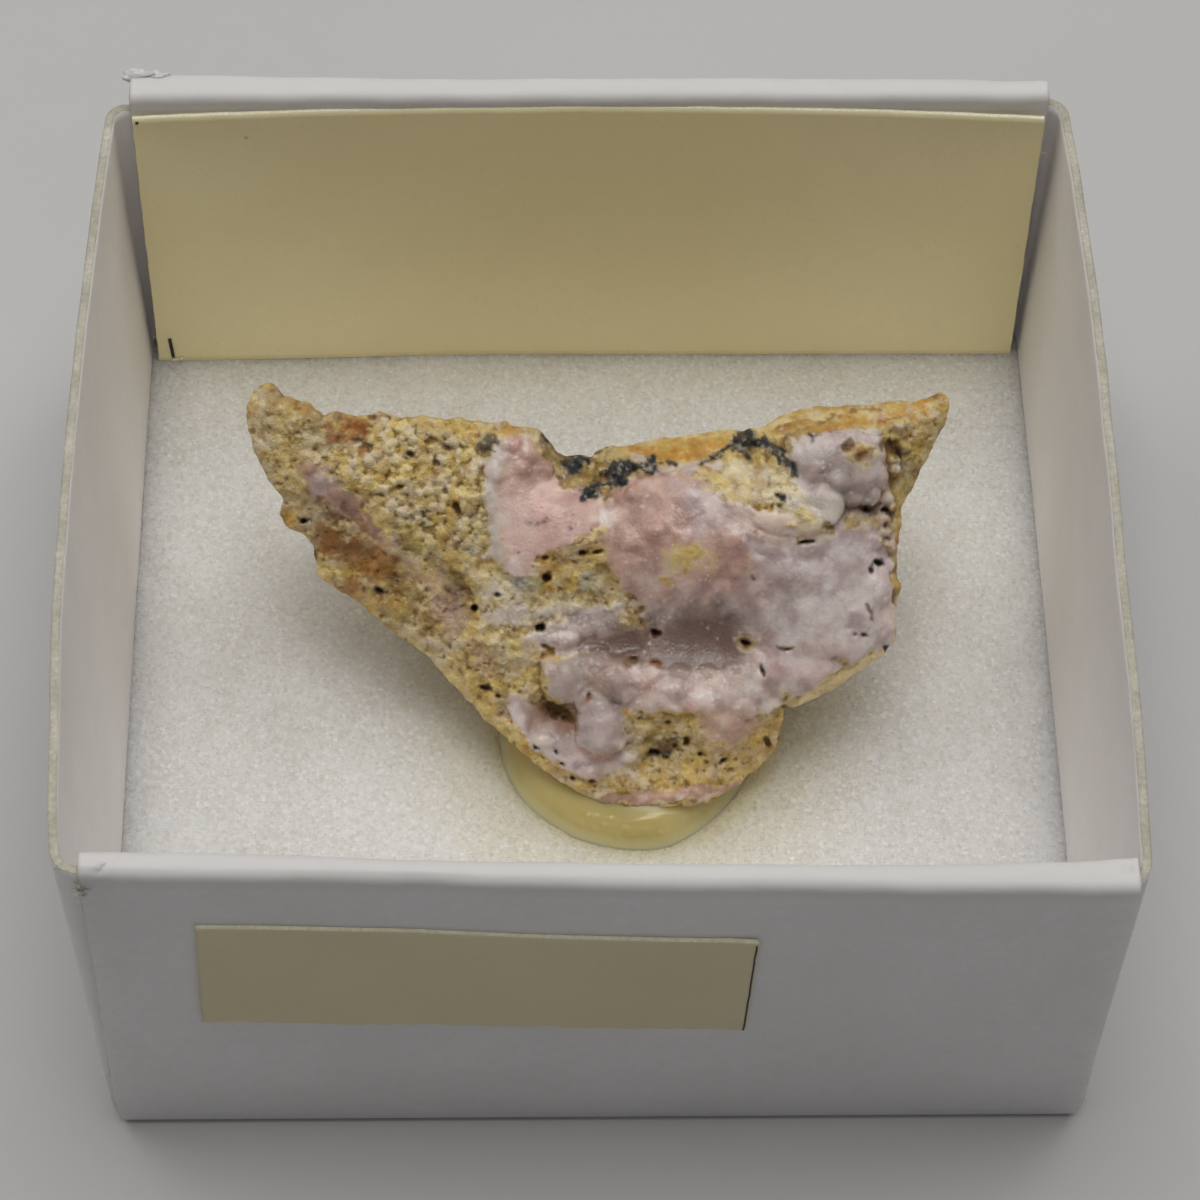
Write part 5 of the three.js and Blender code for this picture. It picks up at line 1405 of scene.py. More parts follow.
def thread(points, radius, slot):
    """A tapered fibre of square section along a line of points."""
    p = np.array(points, float)
    way = np.gradient(p, axis=0)
    way /= np.linalg.norm(way, axis=1, keepdims=True) + 1e-12
    side = np.cross(way, [0.31, 0.52, 0.79])
    side /= np.linalg.norm(side, axis=1, keepdims=True) + 1e-12
    other = np.cross(way, side)
    size = radius * np.linspace(1, 0.35, len(p))[:, None]
    rings = np.stack([p + side * size, p + other * size, p - side * size, p - other * size], 1)
    n = len(p)
    faces = []
    for i in range(n - 1):
        for k in range(4):
            faces.append((4 * i + k, 4 * i + (k + 1) % 4, 4 * i + 4 + (k + 1) % 4, 4 * i + 4 + k))
    faces += [(3, 2, 1, 0), (4 * n - 4, 4 * n - 3, 4 * n - 2, 4 * n - 1)]
    return rings.reshape(-1, 3), np.array(faces), np.full(len(faces), slot)


def tufts(places, rng, slot, count=5, length=0.35, radius=0.012):
    """Loose paper fibres that stick out at each (place, direction)."""
    made = []
    for place, way in places:
        for _ in range(count):
            start = np.array(place) + rng.normal(0, 0.05, 3)
            aim = np.array(way, float) + rng.normal(0, 0.55, 3)
            aim /= np.linalg.norm(aim)
            bend = rng.normal(0, 0.5, 3)
            reach = length * rng.uniform(0.5, 1.2)
            t = np.linspace(0, 1, 5)[:, None]
            points = start + aim * reach * t + bend * reach * t * t
            made.append(thread(points, radius * rng.uniform(0.7, 1.3), slot))
    return made


def lump(place, size, seed, slot):
    """A torn scrap of card: a small rough ball, flattened as size says."""
    s, t = 28, 17
    a = np.linspace(0, 2 * math.pi, s, endpoint=False)
    b = np.linspace(0, math.pi, t)[1:-1]
    ball = [(math.sin(q) * math.cos(p), math.sin(q) * math.sin(p), math.cos(q)) for q in b for p in a]
    ball = np.vstack([[0, 0, 1], ball, [0, 0, -1]])
    r = 1 + 0.45 * noise(ball[:, 0] * 1.9 + seed, ball[:, 1] * 1.9, ball[:, 2] * 1.9, seed)
    r = r + 0.14 * noise(ball[:, 0] * 5 + seed, ball[:, 1] * 5, ball[:, 2] * 5, seed + 1)
    verts = np.array(place) + ball * r[:, None] * np.array(size)
    faces = []
    rows = t - 2
    for k in range(s):
        n = (k + 1) % s
        faces.append((0, 1 + k, 1 + n, 0))
        for i in range(rows - 1):
            faces.append((1 + i * s + k, 1 + (i + 1) * s + k, 1 + (i + 1) * s + n, 1 + i * s + n))
        faces.append((1 + (rows - 1) * s + k, len(ball) - 1, 1 + (rows - 1) * s + n, 1 + (rows - 1) * s + k))
    return verts, np.array(faces), np.full(len(faces), slot)


def from_parts(name, parts, slots):
    verts, faces, kinds = together(parts)
    faces = [tuple(dict.fromkeys(f)) for f in faces.tolist()]
    return make(name, verts, faces, slots, kinds)


# ---------------------------------------------------------------- tray
PANEL = 0.34
# How far the front and back panels have bowed in y, and the side rims outwards, in millimetres.
FRONT_AT = [-19.5, -16.3, -13.6, -7.3, -2.5, 3.0, 7.8, 12.6, 16.9, 19.7]
FRONT_OUTER = [0.28, 0.13, 0.10, 0.0, -0.25, -0.40, -0.42, -0.55, -0.55, -0.60]
FRONT_INNER = [0.0, 0.0, -0.06, -0.29, -0.39, -0.48, -0.49, -0.45, -0.30, -0.13]
BACK_AT = [-19.5, -15.7, -12.3, -5.6, 8.0, 14.8, 19.4]
BACK_OUTER = [0.36, 0.30, 0.20, 0.11, 0.14, 0.09, 0.02]
RIM_AT = [-19.5, -18.5, -16.7, -14.5, -12.3, -10.0, -7.6, -5.3, -2.8, 2.1, 4.7, 7.3, 10.0, 12.7, 15.4, 18.3]
LEFT_RIM = [0.0, 0.04, 0.15, 0.20, 0.23, 0.29, 0.26, 0.25, 0.22, 0.20, 0.18, 0.17, 0.15, 0.13, 0.10, 0.05]
RIGHT_RIM = [0.03, 0.03, 0.04, 0.08, 0.10, 0.10, 0.12, 0.13, 0.15, 0.18, 0.23, 0.25, 0.29, 0.30, 0.29, 0.24]
FOLD_Y, FOLD_Z = 19.20, 18.85
LEFT_END, LENGTH = -19.5, 39.1
HALF_DEPTH = 19.75
# The side walls, left and right: foot, rim and bow of the middle, end tabs at the front and the back.
SIDE_WALLS = {
    -1: (19.95, 20.5, 0.5, 19.08, 19.0, LEFT_RIM),
    1: (20.05, 20.1, 0.35, 19.25, 19.35, RIGHT_RIM),
}

# Worn and torn scraps of card at the corners, the last three at the back left end of the fold:
# place, size, seed and slot (0 coated, 1 raw).
SCRAPS = [
    ((-19.5, -19.28, 18.2), (0.16, 0.10, 0.22), 5, 1), ((-19.38, -19.30, 17.75), (0.10, 0.07, 0.10), 6, 1),
    ((-20.2, -18.72, 18.85), (0.16, 0.16, 0.07), 8, 1), ((-19.9, -18.95, 18.88), (0.14, 0.08, 0.06), 18, 1),
    ((19.35, -19.28, 19.08), (0.12, 0.09, 0.08), 9, 0), ((-19.05, 19.86, 19.22), (0.62, 0.24, 0.20), 20, 0),
    ((-18.45, 19.84, 19.20), (0.50, 0.20, 0.12), 21, 0), ((-19.55, 19.72, 19.14), (0.26, 0.20, 0.14), 22, 0),
]


def card_material():
    m = Nodes("white_coated_card")
    cloud = m.noise(160, 4, 0.55)
    fine = m.noise(2400, 4, 0.6)
    tone = m.blend(m.span(cloud, 0.35, 0.65), (0.835, 0.81, 0.825), (0.885, 0.865, 0.885))
    tone = m.blend(m.span(fine, 0.35, 0.65, 0, 0.35), tone, (0.80, 0.77, 0.75))
    worn = m.span(m.noise(90, 2), 0.5, 0.62)
    scuff = m.math("MULTIPLY", m.span(m.noise(900, 6, 0.75), 0.66, 0.72), worn)
    tone = m.blend(m.math("MULTIPLY", scuff, 0.35), tone, (0.55, 0.52, 0.50))
    # The tops of the folds are painted darker: painted shade.
    high = m.add("SeparateXYZ", 2, {0: m.coords})
    tone = m.blend(m.span(high, 0.0182, 0.0190, 0.0, 0.6), tone, (0.66, 0.645, 0.63))
    pits = m.noise(5200, 2, 0.5)
    height = m.math("ADD", m.math("MULTIPLY", fine, 0.6), m.math("MULTIPLY", pits, 0.4))
    rough = m.span(m.noise(700, 3), 0.3, 0.7, 0.48, 0.64)
    m.done(Base_Color=tone, Roughness=rough, Normal=m.bump(height, 0.00002, 0.6))
    return m.done(Subsurface_Weight=0.3, Subsurface_Radius=(1.0, 0.9, 0.85), Subsurface_Scale=0.0012)


def core_material():
    m = Nodes("raw_card_edge")
    fine = m.noise(4500, 4, 0.7)
    broad = m.noise(600, 3)
    tone = m.blend(m.span(broad, 0.35, 0.65), (0.50, 0.49, 0.41), (0.68, 0.65, 0.57))
    tone = m.blend(m.span(fine, 0.3, 0.65), m.blend(0.6, tone, (0.30, 0.27, 0.18)), tone)
    return m.done(Base_Color=tone, Roughness=0.92, Normal=m.bump(fine, 0.00004, 0.9))


def fold_path():
    """Section of the long sheet: inner front, fold, outer front, floor, outer back, fold, inner back."""
    half = []
    half += [(-18.82, z) for z in np.linspace(0.75, FOLD_Z, 26)]
    turn = np.linspace(0, math.pi, 15)[1:-1]
    half += [(-FOLD_Y + 0.38 * math.cos(a), FOLD_Z + 0.28 * math.sin(a)) for a in turn]
    half += [(-19.58, z) for z in np.linspace(FOLD_Z, 0.47, 30)]
    turn = np.linspace(0, math.pi / 2, 7)[1:]
    half += [(-19.28 - 0.30 * math.cos(a), 0.47 - 0.30 * math.sin(a)) for a in turn]
    floor = [(y, 0.17) for y in np.linspace(-19.28, 19.28, 24)[1:-1]]
    return half + floor + [(-y, z) for y, z in half[::-1]]


def front_lean(X, Z):
    """How far the front wall's outer panel stands back from the upright there."""
    along = (X - LEFT_END) / LENGTH
    return (0.16 * (1 - 0.3 * along) + np.interp(X, FRONT_AT, FRONT_OUTER)) * ramp(Z, 2, 19)


def long_sheet():
    path = np.array(fold_path())
    x = np.concatenate(
        [np.linspace(LEFT_END, -18.3, 10), np.linspace(-18.1, 18.2, 150), np.linspace(18.4, 19.62, 10)]
    )
    X, Y = np.meshgrid(x, path[:, 0], indexing="ij")
    Z = np.meshgrid(x, path[:, 1], indexing="ij")[1]
    along = (X - LEFT_END) / LENGTH
    rise = ramp(Z, 2, 19)
    front, back = Y < -15, Y > 15
    inner = np.abs(Y) < 19.2
    # The fold is fuller at the front left, the panels bow a little and the edges have worn.
    fuller = np.where(front, mix(0.30, 0.02, along), mix(0.10, 0.05, along))
    Y = Y + np.where(inner & (front | back), np.where(front, 1, -1) * fuller * rise, 0)
    # Within the fold the shift passes over from the inner to the outer panel.
    share = ramp(np.abs(Y), 18.95, 19.45)
    inner_lean = np.interp(X, FRONT_AT, FRONT_INNER) * rise + 0.16 * (1 - 0.3 * along) * rise
    front_shift = mix(inner_lean, front_lean(X, Z), share)
    back_shift = (np.interp(X, BACK_AT, BACK_OUTER) * share - 0.05) * rise
    lean = np.where(front, front_shift, back_shift)
    wave = 0.05 * noise(X / 7, Z / 5, Y * 0, 101) + 0.018 * noise(X / 1.6, Z / 1.6, Y * 0, 102)
    wave = wave * ramp(Z, 0.5, 3) * ramp(np.abs(np.abs(Y) - FOLD_Y), -1, 0.3)
    Y = Y + np.where(front | back, lean + wave, 0)
    top = ramp(Z, 18.6, 19.05)
    Z = Z + top * (0.03 * noise(X / 2.2, X * 0, X * 0, 103) + 0.012 * noise(X / 0.4, Y / 0.4, X * 0, 104))
    # A crease near the left end of the front fold and a dent near its right end.
    off_crease = X + 18.5 - (Y + 18.9) * 1.3 + 0.08 * noise(Y / 0.2, X * 0, X * 0, 105)
    crease = np.exp(-((off_crease / 0.07) ** 2)) * front * top
    crease = crease * ramp(np.abs(Y + 18.85), 0.42, 0.2)
    dent = np.exp(-((X - 19.2) ** 2 + (Y + 19.25) ** 2) / 0.05) * front * top
    Z = Z - 0.13 * crease - 0.16 * dent
    # The skin of the fold is frayed along its lower edge.
    fray = np.exp(-(((Z - 18.75) / 0.14) ** 2)) * share * (front | back)
    Y = Y + fray * np.sign(Y) * 0.03 * noise(X / 0.35, Z / 0.2, X * 0, 106)
    # Bottom corners of the outer panels are clipped.
    low = (np.abs(path[:, 1]) < 1.0) & (np.abs(path[:, 0]) > 19.2)
    clip = np.where(low, 0.32 * (1 - path[:, 1] / 1.0), 0)[None, :]
    X = X - np.sign(X) * clip * ramp(np.abs(X), 17.5, 19.5)
    X = X - 0.24 * back * ramp(X, 18.2, 19.6) * rise
    floor = (path[:, 1] < 0.3)[None, :]
    X = np.where(floor, np.clip(X, -19.45, 19.5), X)
    return slab(np.stack([X, Y, Z], -1), PANEL, seed=111)


def rim_height(y):
    return mix(18.9, 18.1, (y / HALF_DEPTH + 1) / 2)


def side_sheet(side):
    """A side wall with its ends curled round the corners into the doubled front and back walls."""
    base, rim, bow, front_tab, back_tab, bulge = SIDE_WALLS[side]
    reach, radius = base - 0.2, 0.75
    ends = []
    for tab in (front_tab, back_tab):
        end = [(reach - 6 + i * (6 - radius) / 10, -tab) for i in range(10)]
        end += [(reach - radius + radius * math.sin(a), -tab + radius - radius * math.cos(a))
                for a in np.linspace(0, math.pi / 2, 12)]
        ends.append(end)
    straight = np.linspace(-front_tab + radius, back_tab - radius, 110)[1:-1]
    plan = np.array(ends[0] + [(reach, y) for y in straight] + [(px, -py) for px, py in ends[1][::-1]])
    levels = np.concatenate([np.linspace(0, 0.08, 5)[:-1], np.linspace(0.08, 1, 34)])
    S, T = np.meshgrid(np.arange(len(plan)), levels, indexing="ij")
    x, y = plan[S, 0], plan[S, 1]
    along = y / HALF_DEPTH
    straightness = ramp(np.abs(y), 18.9, 18.1)
    rim_z = rim_height(y) - 0.35 * ramp(x, reach - 0.5, reach - 1.2)
    rim_z = rim_z + 0.05 * noise(y / 3.1, x * 0, x * 0, 121 + side)
    rim_z = rim_z + 0.02 * noise(y / 0.5, x, x * 0, 131 + side)
    z = 0.12 + T * (rim_z - 0.12)
    # The foot of the straight part folds in under the wall.
    foot = np.clip(1 - T / 0.08, 0, 1) * straightness
    z = z - foot * 0.12 + foot * 0.17 * 0.3
    gain = rim - base + bow * (1 - along ** 2) + np.interp(y, RIM_AT, bulge)
    x = x + gain * ramp(x, 18, 19.4) * T - 0.35 * foot ** 2
    x = x + straightness * ramp(T, 0.1, 0.4) * (0.06 * noise(y / 6, z / 6, y * 0, 141 + side)
                                                + 0.015 * noise(y / 1.2, z / 1.2, y * 0, 151 + side))
    if side > 0:
        # A long faint dent in the right wall.
        d = line_distance([(-1.2, 13.4), (0.6, 11.2)], y, z)
        x = x + 0.05 * np.exp(-(d / 0.12) ** 2)
    # The front end goes with the doubled wall that it is tucked into.
    outer, inner = (np.interp(side * x, FRONT_AT, panel) for panel in (FRONT_OUTER, FRONT_INNER))
    middle = (outer + inner) / 2
    y = y + middle * ramp(-y, 17.2, 18.8) * ramp(z, 2, 19)
    grid = np.stack([side * x, y, z], -1)
    return slab(grid if side > 0 else grid[::-1], 0.36, swell=0.02, fuzz=0.03, seed=161 + side)


def add_tray():
    rng = np.random.default_rng(7)
    parts = [long_sheet(), side_sheet(-1), side_sheet(1)]
    places = []
    for y in rng.uniform(-18.5, 18.5, 26):
        side = rng.choice([-1, 1])
        _, rim, bow, _, _, bulge = SIDE_WALLS[side]
        out = rim + bow * (1 - (y / HALF_DEPTH) ** 2) + np.interp(y, RIM_AT, bulge)
        places.append(((side * (out - 0.2), y, rim_height(y)), (0, 0, 1)))
    parts += tufts(places, rng, 1, 2, 0.16, 0.010)
    left = [((-19.52, -19.5, z), (-1, -0.5, 0)) for z in (17.9, 17.6, 6.2, 5.2, 4.4, 11.5)]
    right = [((19.64, -19.5, z), (1, -0.5, 0)) for z in (17.2, 9.0, 3.1)]
    parts += tufts(left + right, rng, 0, 4, 0.22, 0.012)
    frayed = [((-19.45, -19.28, 18.2), (-1, -0.6, 0.2)), ((-19.35, -19.3, 18.1), (0.5, -0.8, 0.2))]
    parts += tufts(frayed, rng, 1, 9, 0.42, 0.020)
    parts += [lump(*scrap) for scrap in SCRAPS]
    torn = [((-19.72, 19.75, 19.15), (-1, 0.3, 0.3)), ((-19.2, 20.0, 19.25), (0, 1, 0.5))]
    parts += tufts(torn, rng, 0, 4, 0.18, 0.012)
    for verts, _, _ in parts:
        np.maximum(verts[:, 2], 0.012, out=verts[:, 2])
    o = from_parts("folded_card_tray", parts, [card_material(), core_material()])
    is_piece_of(o, "tray")


# ---------------------------------------------------------------- foam
GLUE_X, GLUE_Y = 1.75, -2.95


def foam_material():
    m = Nodes("sparkling_foam")
    cell = m.voronoi(6200, "Color")
    value = m.add("SeparateColor", 0, {0: cell})
    other = m.add("SeparateColor", 1, {0: cell})
    film = m.voronoi(6200, "Distance", "DISTANCE_TO_EDGE")
    glint = m.add("SeparateColor", 2, {0: m.voronoi(3300, "Color")})
    spot = m.math("MULTIPLY", m.span(m.voronoi(3300), 0.40, 0.24), m.span(glint, 0.60, 0.72))
    broad = m.noise(420, 3)
    tone = m.blend(m.span(broad, 0.35, 0.65), (0.81, 0.79, 0.755), (0.88, 0.86, 0.83))
    tone = m.blend(m.span(value, 0.0, 0.3, 0.12, 0.0), tone, (0.62, 0.59, 0.52))
    # The palest cells and the white spots are painted glints in the foam's colour; its tilted cells below
    # also give real glints.
    tone = m.blend(m.span(value, 0.78, 0.98, 0.0, 0.8), tone, (0.98, 0.975, 0.95))
    tone = m.blend(spot, tone, (1.0, 1.0, 0.99))
    # Next to the glue the foam is yellowed, partly a stain from the glue and partly painted bounce light;
    # towards the back the yellowing is painted bounce light from the cream label card.
    x, y = (m.add("SeparateXYZ", i, {0: m.coords}) for i in (0, 1))
    dx, dy = (m.math("SUBTRACT", place, at * MM) for place, at in zip((x, y), (GLUE_X, GLUE_Y)))
    away = m.math("SQRT", m.math("ADD", m.math("MULTIPLY", dx, dx), m.math("MULTIPLY", dy, dy)), 0)
    tone = m.blend(m.span(away, 0.0054, 0.0110, 0.62, 0.0), tone, (0.76, 0.67, 0.44))
    tone = m.blend(m.span(away, 0.0057, 0.0064, 0.6, 0.0), tone, (0.80, 0.70, 0.38))
    tone = m.blend(m.span(y, 0.0130, 0.0178, 0.0, 0.30), tone, (0.78, 0.68, 0.44))
    centred = m.add("VectorMath", 0, {0: cell, 1: (0.5, 0.5, 0.5)}, operation="SUBTRACT")
    tilt = m.add("VectorMath", 0, {0: centred, 3: 0.75}, operation="SCALE")
    normal = m.add("NewGeometry", 1)
    leaning = m.add("VectorMath", 0, {0: normal, 1: tilt}, operation="ADD")
    leaning = m.add("VectorMath", 0, {0: leaning}, operation="NORMALIZE")
    bumped = m.bump(m.span(film, 0.0, 0.25), 0.00003, 0.6, leaning)
    rough = m.span(other, 0.5, 0.9, 0.6, 0.08)
    m.done(Base_Color=tone, Roughness=rough, Normal=bumped, Specular_IOR_Level=0.85)
    return m.done(Subsurface_Weight=0.85, Subsurface_Radius=(1, 0.95, 0.85), Subsurface_Scale=0.0045)


def add_foam():
    x = np.linspace(-19.7, 19.74, 300)
    y = np.linspace(-18.6, 18.6, 284)
    X, Y = np.meshgrid(x, y, indexing="ij")
    zero = np.zeros_like(X)
    near, second, mark = cells(X / 0.27, Y / 0.27, 201)
    Z = 2.95 + 0.03 * (0.4 + mark) * np.sqrt(np.clip(1 - near * near, 0, 1))
    Z = Z - 0.015 * ramp(second - near, 0.25, 0)
    Z = Z + 0.05 * noise(X / 3.3, Y / 3.3, zero, 202) + 0.025 * noise(X / 0.8, Y / 0.8, zero, 203)
    edge = np.minimum(np.minimum(X - x[0], x[-1] - X), np.minimum(Y - y[0], y[-1] - Y))
    Z = Z - 0.12 * (1 - np.sqrt(1 - np.clip(1 - edge / 0.2, 0, 1) ** 2 + 1e-9))
    # Pressed a little under the glue.
    Z = Z - 0.04 * ramp(np.hypot(X - GLUE_X, Y - GLUE_Y), 5.5, 4.5)
    ragged = 0.02 * noise(zero, Y / 1.5, zero, 204) + 0.01 * noise(zero, Y / 0.3, zero, 205)
    X = X + ragged * ramp(np.abs(X), 19, 19.6)
    # The sheet is cut to the tray and presses against its walls, which bow.
    X = X + np.sign(X) * 0.09 * (1 - (Y / HALF_DEPTH) ** 2) * ramp(np.abs(X), 17, 19.6)
    top = np.stack([X, Y, Z], -1)
    n, k = X.shape
    index = np.arange(n * k).reshape(n, k)
    faces = [np.stack([index[:-1, :-1], index[1:, :-1], index[1:, 1:], index[:-1, 1:]], -1).reshape(-1, 4)]
    loop = np.concatenate([index[:-1, 0], index[-1, :-1], index[:0:-1, -1], index[0, :0:-1]])
    verts = [top.reshape(-1, 3)]
    start = n * k
    above = loop
    # The lower edge draws in, because the side walls fold in under themselves there.
    for z, reach in ((1.9, 19.68), (1.1, 19.5), (0.42, 19.2)):
        ring = verts[0][loop].copy()
        ring[:, 0] = np.clip(ring[:, 0], -reach, reach)
        ring[:, 2] = z + 0.03 * noise(ring[:, 0] / 0.4, ring[:, 1] / 0.4, np.full(len(ring), z), 206)
        verts.append(ring)
        below = start + np.arange(len(loop))
        faces.append(np.stack([above, below, np.roll(below, -1), np.roll(above, -1)], -1))
        above = below
        start += len(loop)
    faces = np.concatenate(faces)
    quads = [tuple(f) for f in faces.tolist()] + [tuple(int(i) for i in above[::-1])]
    o = make("foam_sheet", np.concatenate(verts), quads, [foam_material()])
    is_piece_of(o, "foam_pad")


# ---------------------------------------------------------------- labels
def label_material(name, tone, shade):
    m = Nodes(name)
    fibre = m.noise(1400, 5, 0.65, warp=0.4)
    cloud = m.noise(120, 3)
    fine = m.noise(6500, 3, 0.6)
    c = m.blend(m.span(cloud, 0.3, 0.7), tone, shade)
    c = m.blend(m.span(fibre, 0.35, 0.7, 0, 0.3), c, tuple(0.92 * v for v in tone))
    c = m.blend(m.span(fine, 0.30, 0.40, 0.25, 0.0), c, tuple(0.7 * v for v in tone))
    rough = m.span(fibre, 0.3, 0.7, 0.62, 0.78)
    return m.done(Base_Color=c, Roughness=rough, Normal=m.bump(fine, 0.000015, 0.6))


def label_edge_material():
    m = Nodes("label_cut_edge")
    fine = m.noise(5200, 3, 0.6)
    c = m.blend(m.span(fine, 0.35, 0.65), (0.80, 0.74, 0.52), (0.92, 0.88, 0.70))
    return m.done(Base_Color=c, Roughness=0.85, Normal=m.bump(fine, 0.00003, 0.8))


def ink_material():
    m = Nodes("printing_ink")
    c = m.blend(m.noise(9000, 2), (0.015, 0.014, 0.013), (0.05, 0.045, 0.04))
    return m.done(Base_Color=c, Roughness=0.55)


def smudge_material():
    m = Nodes("label_smudge")
    c = m.blend(m.noise(5200), (0.52, 0.44, 0.20), (0.80, 0.70, 0.42))
    return m.done(Base_Color=c, Roughness=0.8)


def patch(points, normal, lift, slot):
    """A tiny flat mark: a thin closed prism over a polygon."""
    p = np.array(points, float)
    n = np.array(normal, float)
    n /= np.linalg.norm(n)
    k = len(p)
    middle = p.mean(0)
    verts = np.vstack([p + n * lift, p - n * lift, [middle + n * lift, middle - n * lift]])
    faces = []
    for i in range(k):
        j = (i + 1) % k
        faces.append((2 * k, i, j, 2 * k))
        faces.append((2 * k + 1, k + j, k + i, 2 * k + 1))
        faces.append((i, k + i, k + j, j))
    return verts, np.array(faces), np.full(len(faces), slot)


HALF_CARD = 19.36


def add_label_card():
    ends = [np.linspace(-HALF_CARD, -19.0, 8), np.linspace(19.0, HALF_CARD, 8)]
    x = np.concatenate([ends[0], np.linspace(-18.8, 18.8, 140), ends[1]])
    t = np.linspace(0, 1, 50)
    X, T = np.meshgrid(x, t, indexing="ij")
    along = X / HALF_CARD
    foot_y = mix(17.30, 17.62, ramp(along, -1, -0.2))
    top_y = mix(18.20, 18.55, 1 - along ** 2)
    top_z = 18.36 + 0.31 * (1 - along ** 2) + 0.02 * along + 0.012 * noise(X / 0.5, X * 0, X * 0, 301)
    Y = mix(foot_y, top_y, T) - 0.16 * (1 - along ** 2) * np.sin(math.pi * T)
    Y = Y + 0.02 * noise(X / 6, T * 3, X * 0, 302)
    Z = mix(2.97, top_z, T)
    X = X - 0.09 * T
    X = X + 0.02 * noise(T * 30, X * 0, X * 0 + np.sign(along), 303) * ramp(np.abs(along), 0.97, 1)
    parts = [slab(np.stack([X, Y, Z], -1), 0.2, swell=0.01, fuzz=0.012, seed=311, across=3)]
    rng = np.random.default_rng(11)
    facing = np.array([0, -0.997, 0.075])
    # A printed tick at the lower left, a speck at the upper left and a faint one near it.
    tick = [(-18.77, 17.235, 3.22), (-18.62, 17.235, 3.24), (-18.71, 17.31, 4.5), (-18.86, 17.31, 4.46)]
    parts.append(patch([(a, b - 0.06, c) for a, b, c in tick], facing, 0.012, 2))
    for cx, cy, cz, r, slot in ((-19.24, 18.05, 18.16, 0.075, 2), (-14.7, 18.14, 17.15, 0.09, 3)):
        turn = np.linspace(0, 2 * math.pi, 11)[:-1]
        wide = r * np.cos(turn) * (1 + 0.25 * np.sin(3 * turn))
        ring = [(cx + dx, cy, cz + dz) for dx, dz in zip(wide, r * np.sin(turn) * 0.9)]
        parts.append(patch(ring, facing, 0.03, slot))
    frayed = ((-1, 5.2), (-1, 4.3), (-1, 3.6), (1, 17.2), (1, 16.1), (1, 9.5), (-1, 12.0))
    edge = [((side * HALF_CARD, 17.35 + 0.072 * (z - 3), z), (side, -0.5, 0)) for side, z in frayed]
    parts += tufts(edge, rng, 1, 4, 0.2, 0.010)
    for i, (dx, dz, w) in enumerate(((0, 0, 0.16), (0.22, 0.08, 0.10), (-0.14, -0.03, 0.09))):
        parts.append(lump((-18.55 + dx, 17.14, 3.10 + dz), (w, 0.05, 0.055), 31 + i, 1))
    parts += tufts([((-18.5, 17.1, 3.1), (0.3, -0.5, 0.6))], rng, 1, 8, 0.22, 0.012)
    slots = [label_material("cream_label", (0.985, 0.90, 0.56), (0.955, 0.86, 0.51)), label_edge_material()]
    slots += [ink_material(), smudge_material()]
    o = from_parts("label_card", parts, slots)
    is_piece_of(o, "label_card")


def add_number_label():
    s = np.linspace(-10.6, 10.6, 120)
    t = np.linspace(-3.5, 3.5, 44)
    S, T = np.meshgrid(s, t, indexing="ij")
    # The bottom edge was cut by hand.
    rag = 0.07 * noise(S / 0.5, S * 0, S * 0, 321) + 0.09 * noise(S / 4.5, S * 0, S * 0, 322)
    T = T + rag * ramp(T, -2.4, -3.5)
    S = S + 0.02 * noise(T / 0.6, T * 0, T * 0, 323) * ramp(np.abs(S), 10, 10.6)
    across, up = (S + 10.6) / 21.2, (T + 3.5) / 7
    X = mix(mix(-15.57, 5.57, across), mix(-15.41, 5.72, across), up)
    Z = mix(mix(8.85, 8.38, across), mix(15.86, 15.44, across), up)
    Y = -19.855 + front_lean(X, Z)
    Y = Y - 0.05 * ramp(S, 9.5, 10.6) - 0.03 * ramp(S, -9.8, -10.6)
    parts = [slab(np.stack([X, Y, Z], -1), 0.2, swell=0.01, fuzz=0.02, seed=331, across=3)]
    rng = np.random.default_rng(13)
    # A printed cutting line runs down the right edge.
    line = [(X[-1, j] - 0.05 - w, Y[-1, j] - 0.1, Z[-1, j]) for w, js in
            ((0.0, range(43)), (0.07, range(42, -1, -1))) for j in js]
    n = len(line) // 2
    for i in range(n - 1):
        four = [line[i], line[i + 1], line[2 * n - 2 - i], line[2 * n - 1 - i]]
        parts.append(patch(four, (0, -1, 0), 0.012, 2))
    edge = [((X[-1, 40], -19.9, Z[-1, 40]), (1, -0.3, 0.3)), ((X[-1, 30], -19.9, Z[-1, 30]), (1, -0.3, 0)),
            ((X[-1, 6], -19.9, Z[-1, 6]), (1, -0.3, -0.4)), ((X[60, 0], -19.9, Z[60, 0]), (0, -0.3, -1))]
    parts += tufts(edge, rng, 1, 3, 0.3, 0.010)
    slots = [label_material("cream_number_label", (0.78, 0.70, 0.47), (0.73, 0.64, 0.42))]
    slots += [label_edge_material(), ink_material()]
    o = from_parts("number_label", parts, slots)
    is_piece_of(o, "number_label")


# ---------------------------------------------------------------- glue
def glue_material():
    m = Nodes("hot_glue")
    cloud = m.noise(330, 3)
    tone = m.blend(m.span(cloud, 0.35, 0.65), (0.67, 0.56, 0.24), (0.58, 0.48, 0.17))
    # It thins out to a pale rim where it wets the foam.
    # Low down it is painted paler: partly the thin glue where it wets the foam, partly painted light that
    # lifts the shade at its foot.
    low = m.add("SeparateXYZ", 2, {0: m.coords})
    tone = m.blend(m.span(low, 0.00302, 0.0034, 0.5, 0.0), tone, (0.84, 0.77, 0.45))
    m.done(Base_Color=tone, Roughness=m.span(m.noise(900, 2), 0.3, 0.7, 0.28, 0.42))
    m.done(Normal=m.bump(m.noise(900, 3), 0.00006, 0.6), IOR=1.48, Transmission_Weight=0.15)
    m.done(Subsurface_Weight=1.0, Subsurface_Radius=(1.0, 0.9, 0.6), Subsurface_Scale=0.0012)
    return m.done(Coat_Weight=0.35, Coat_Roughness=0.08)


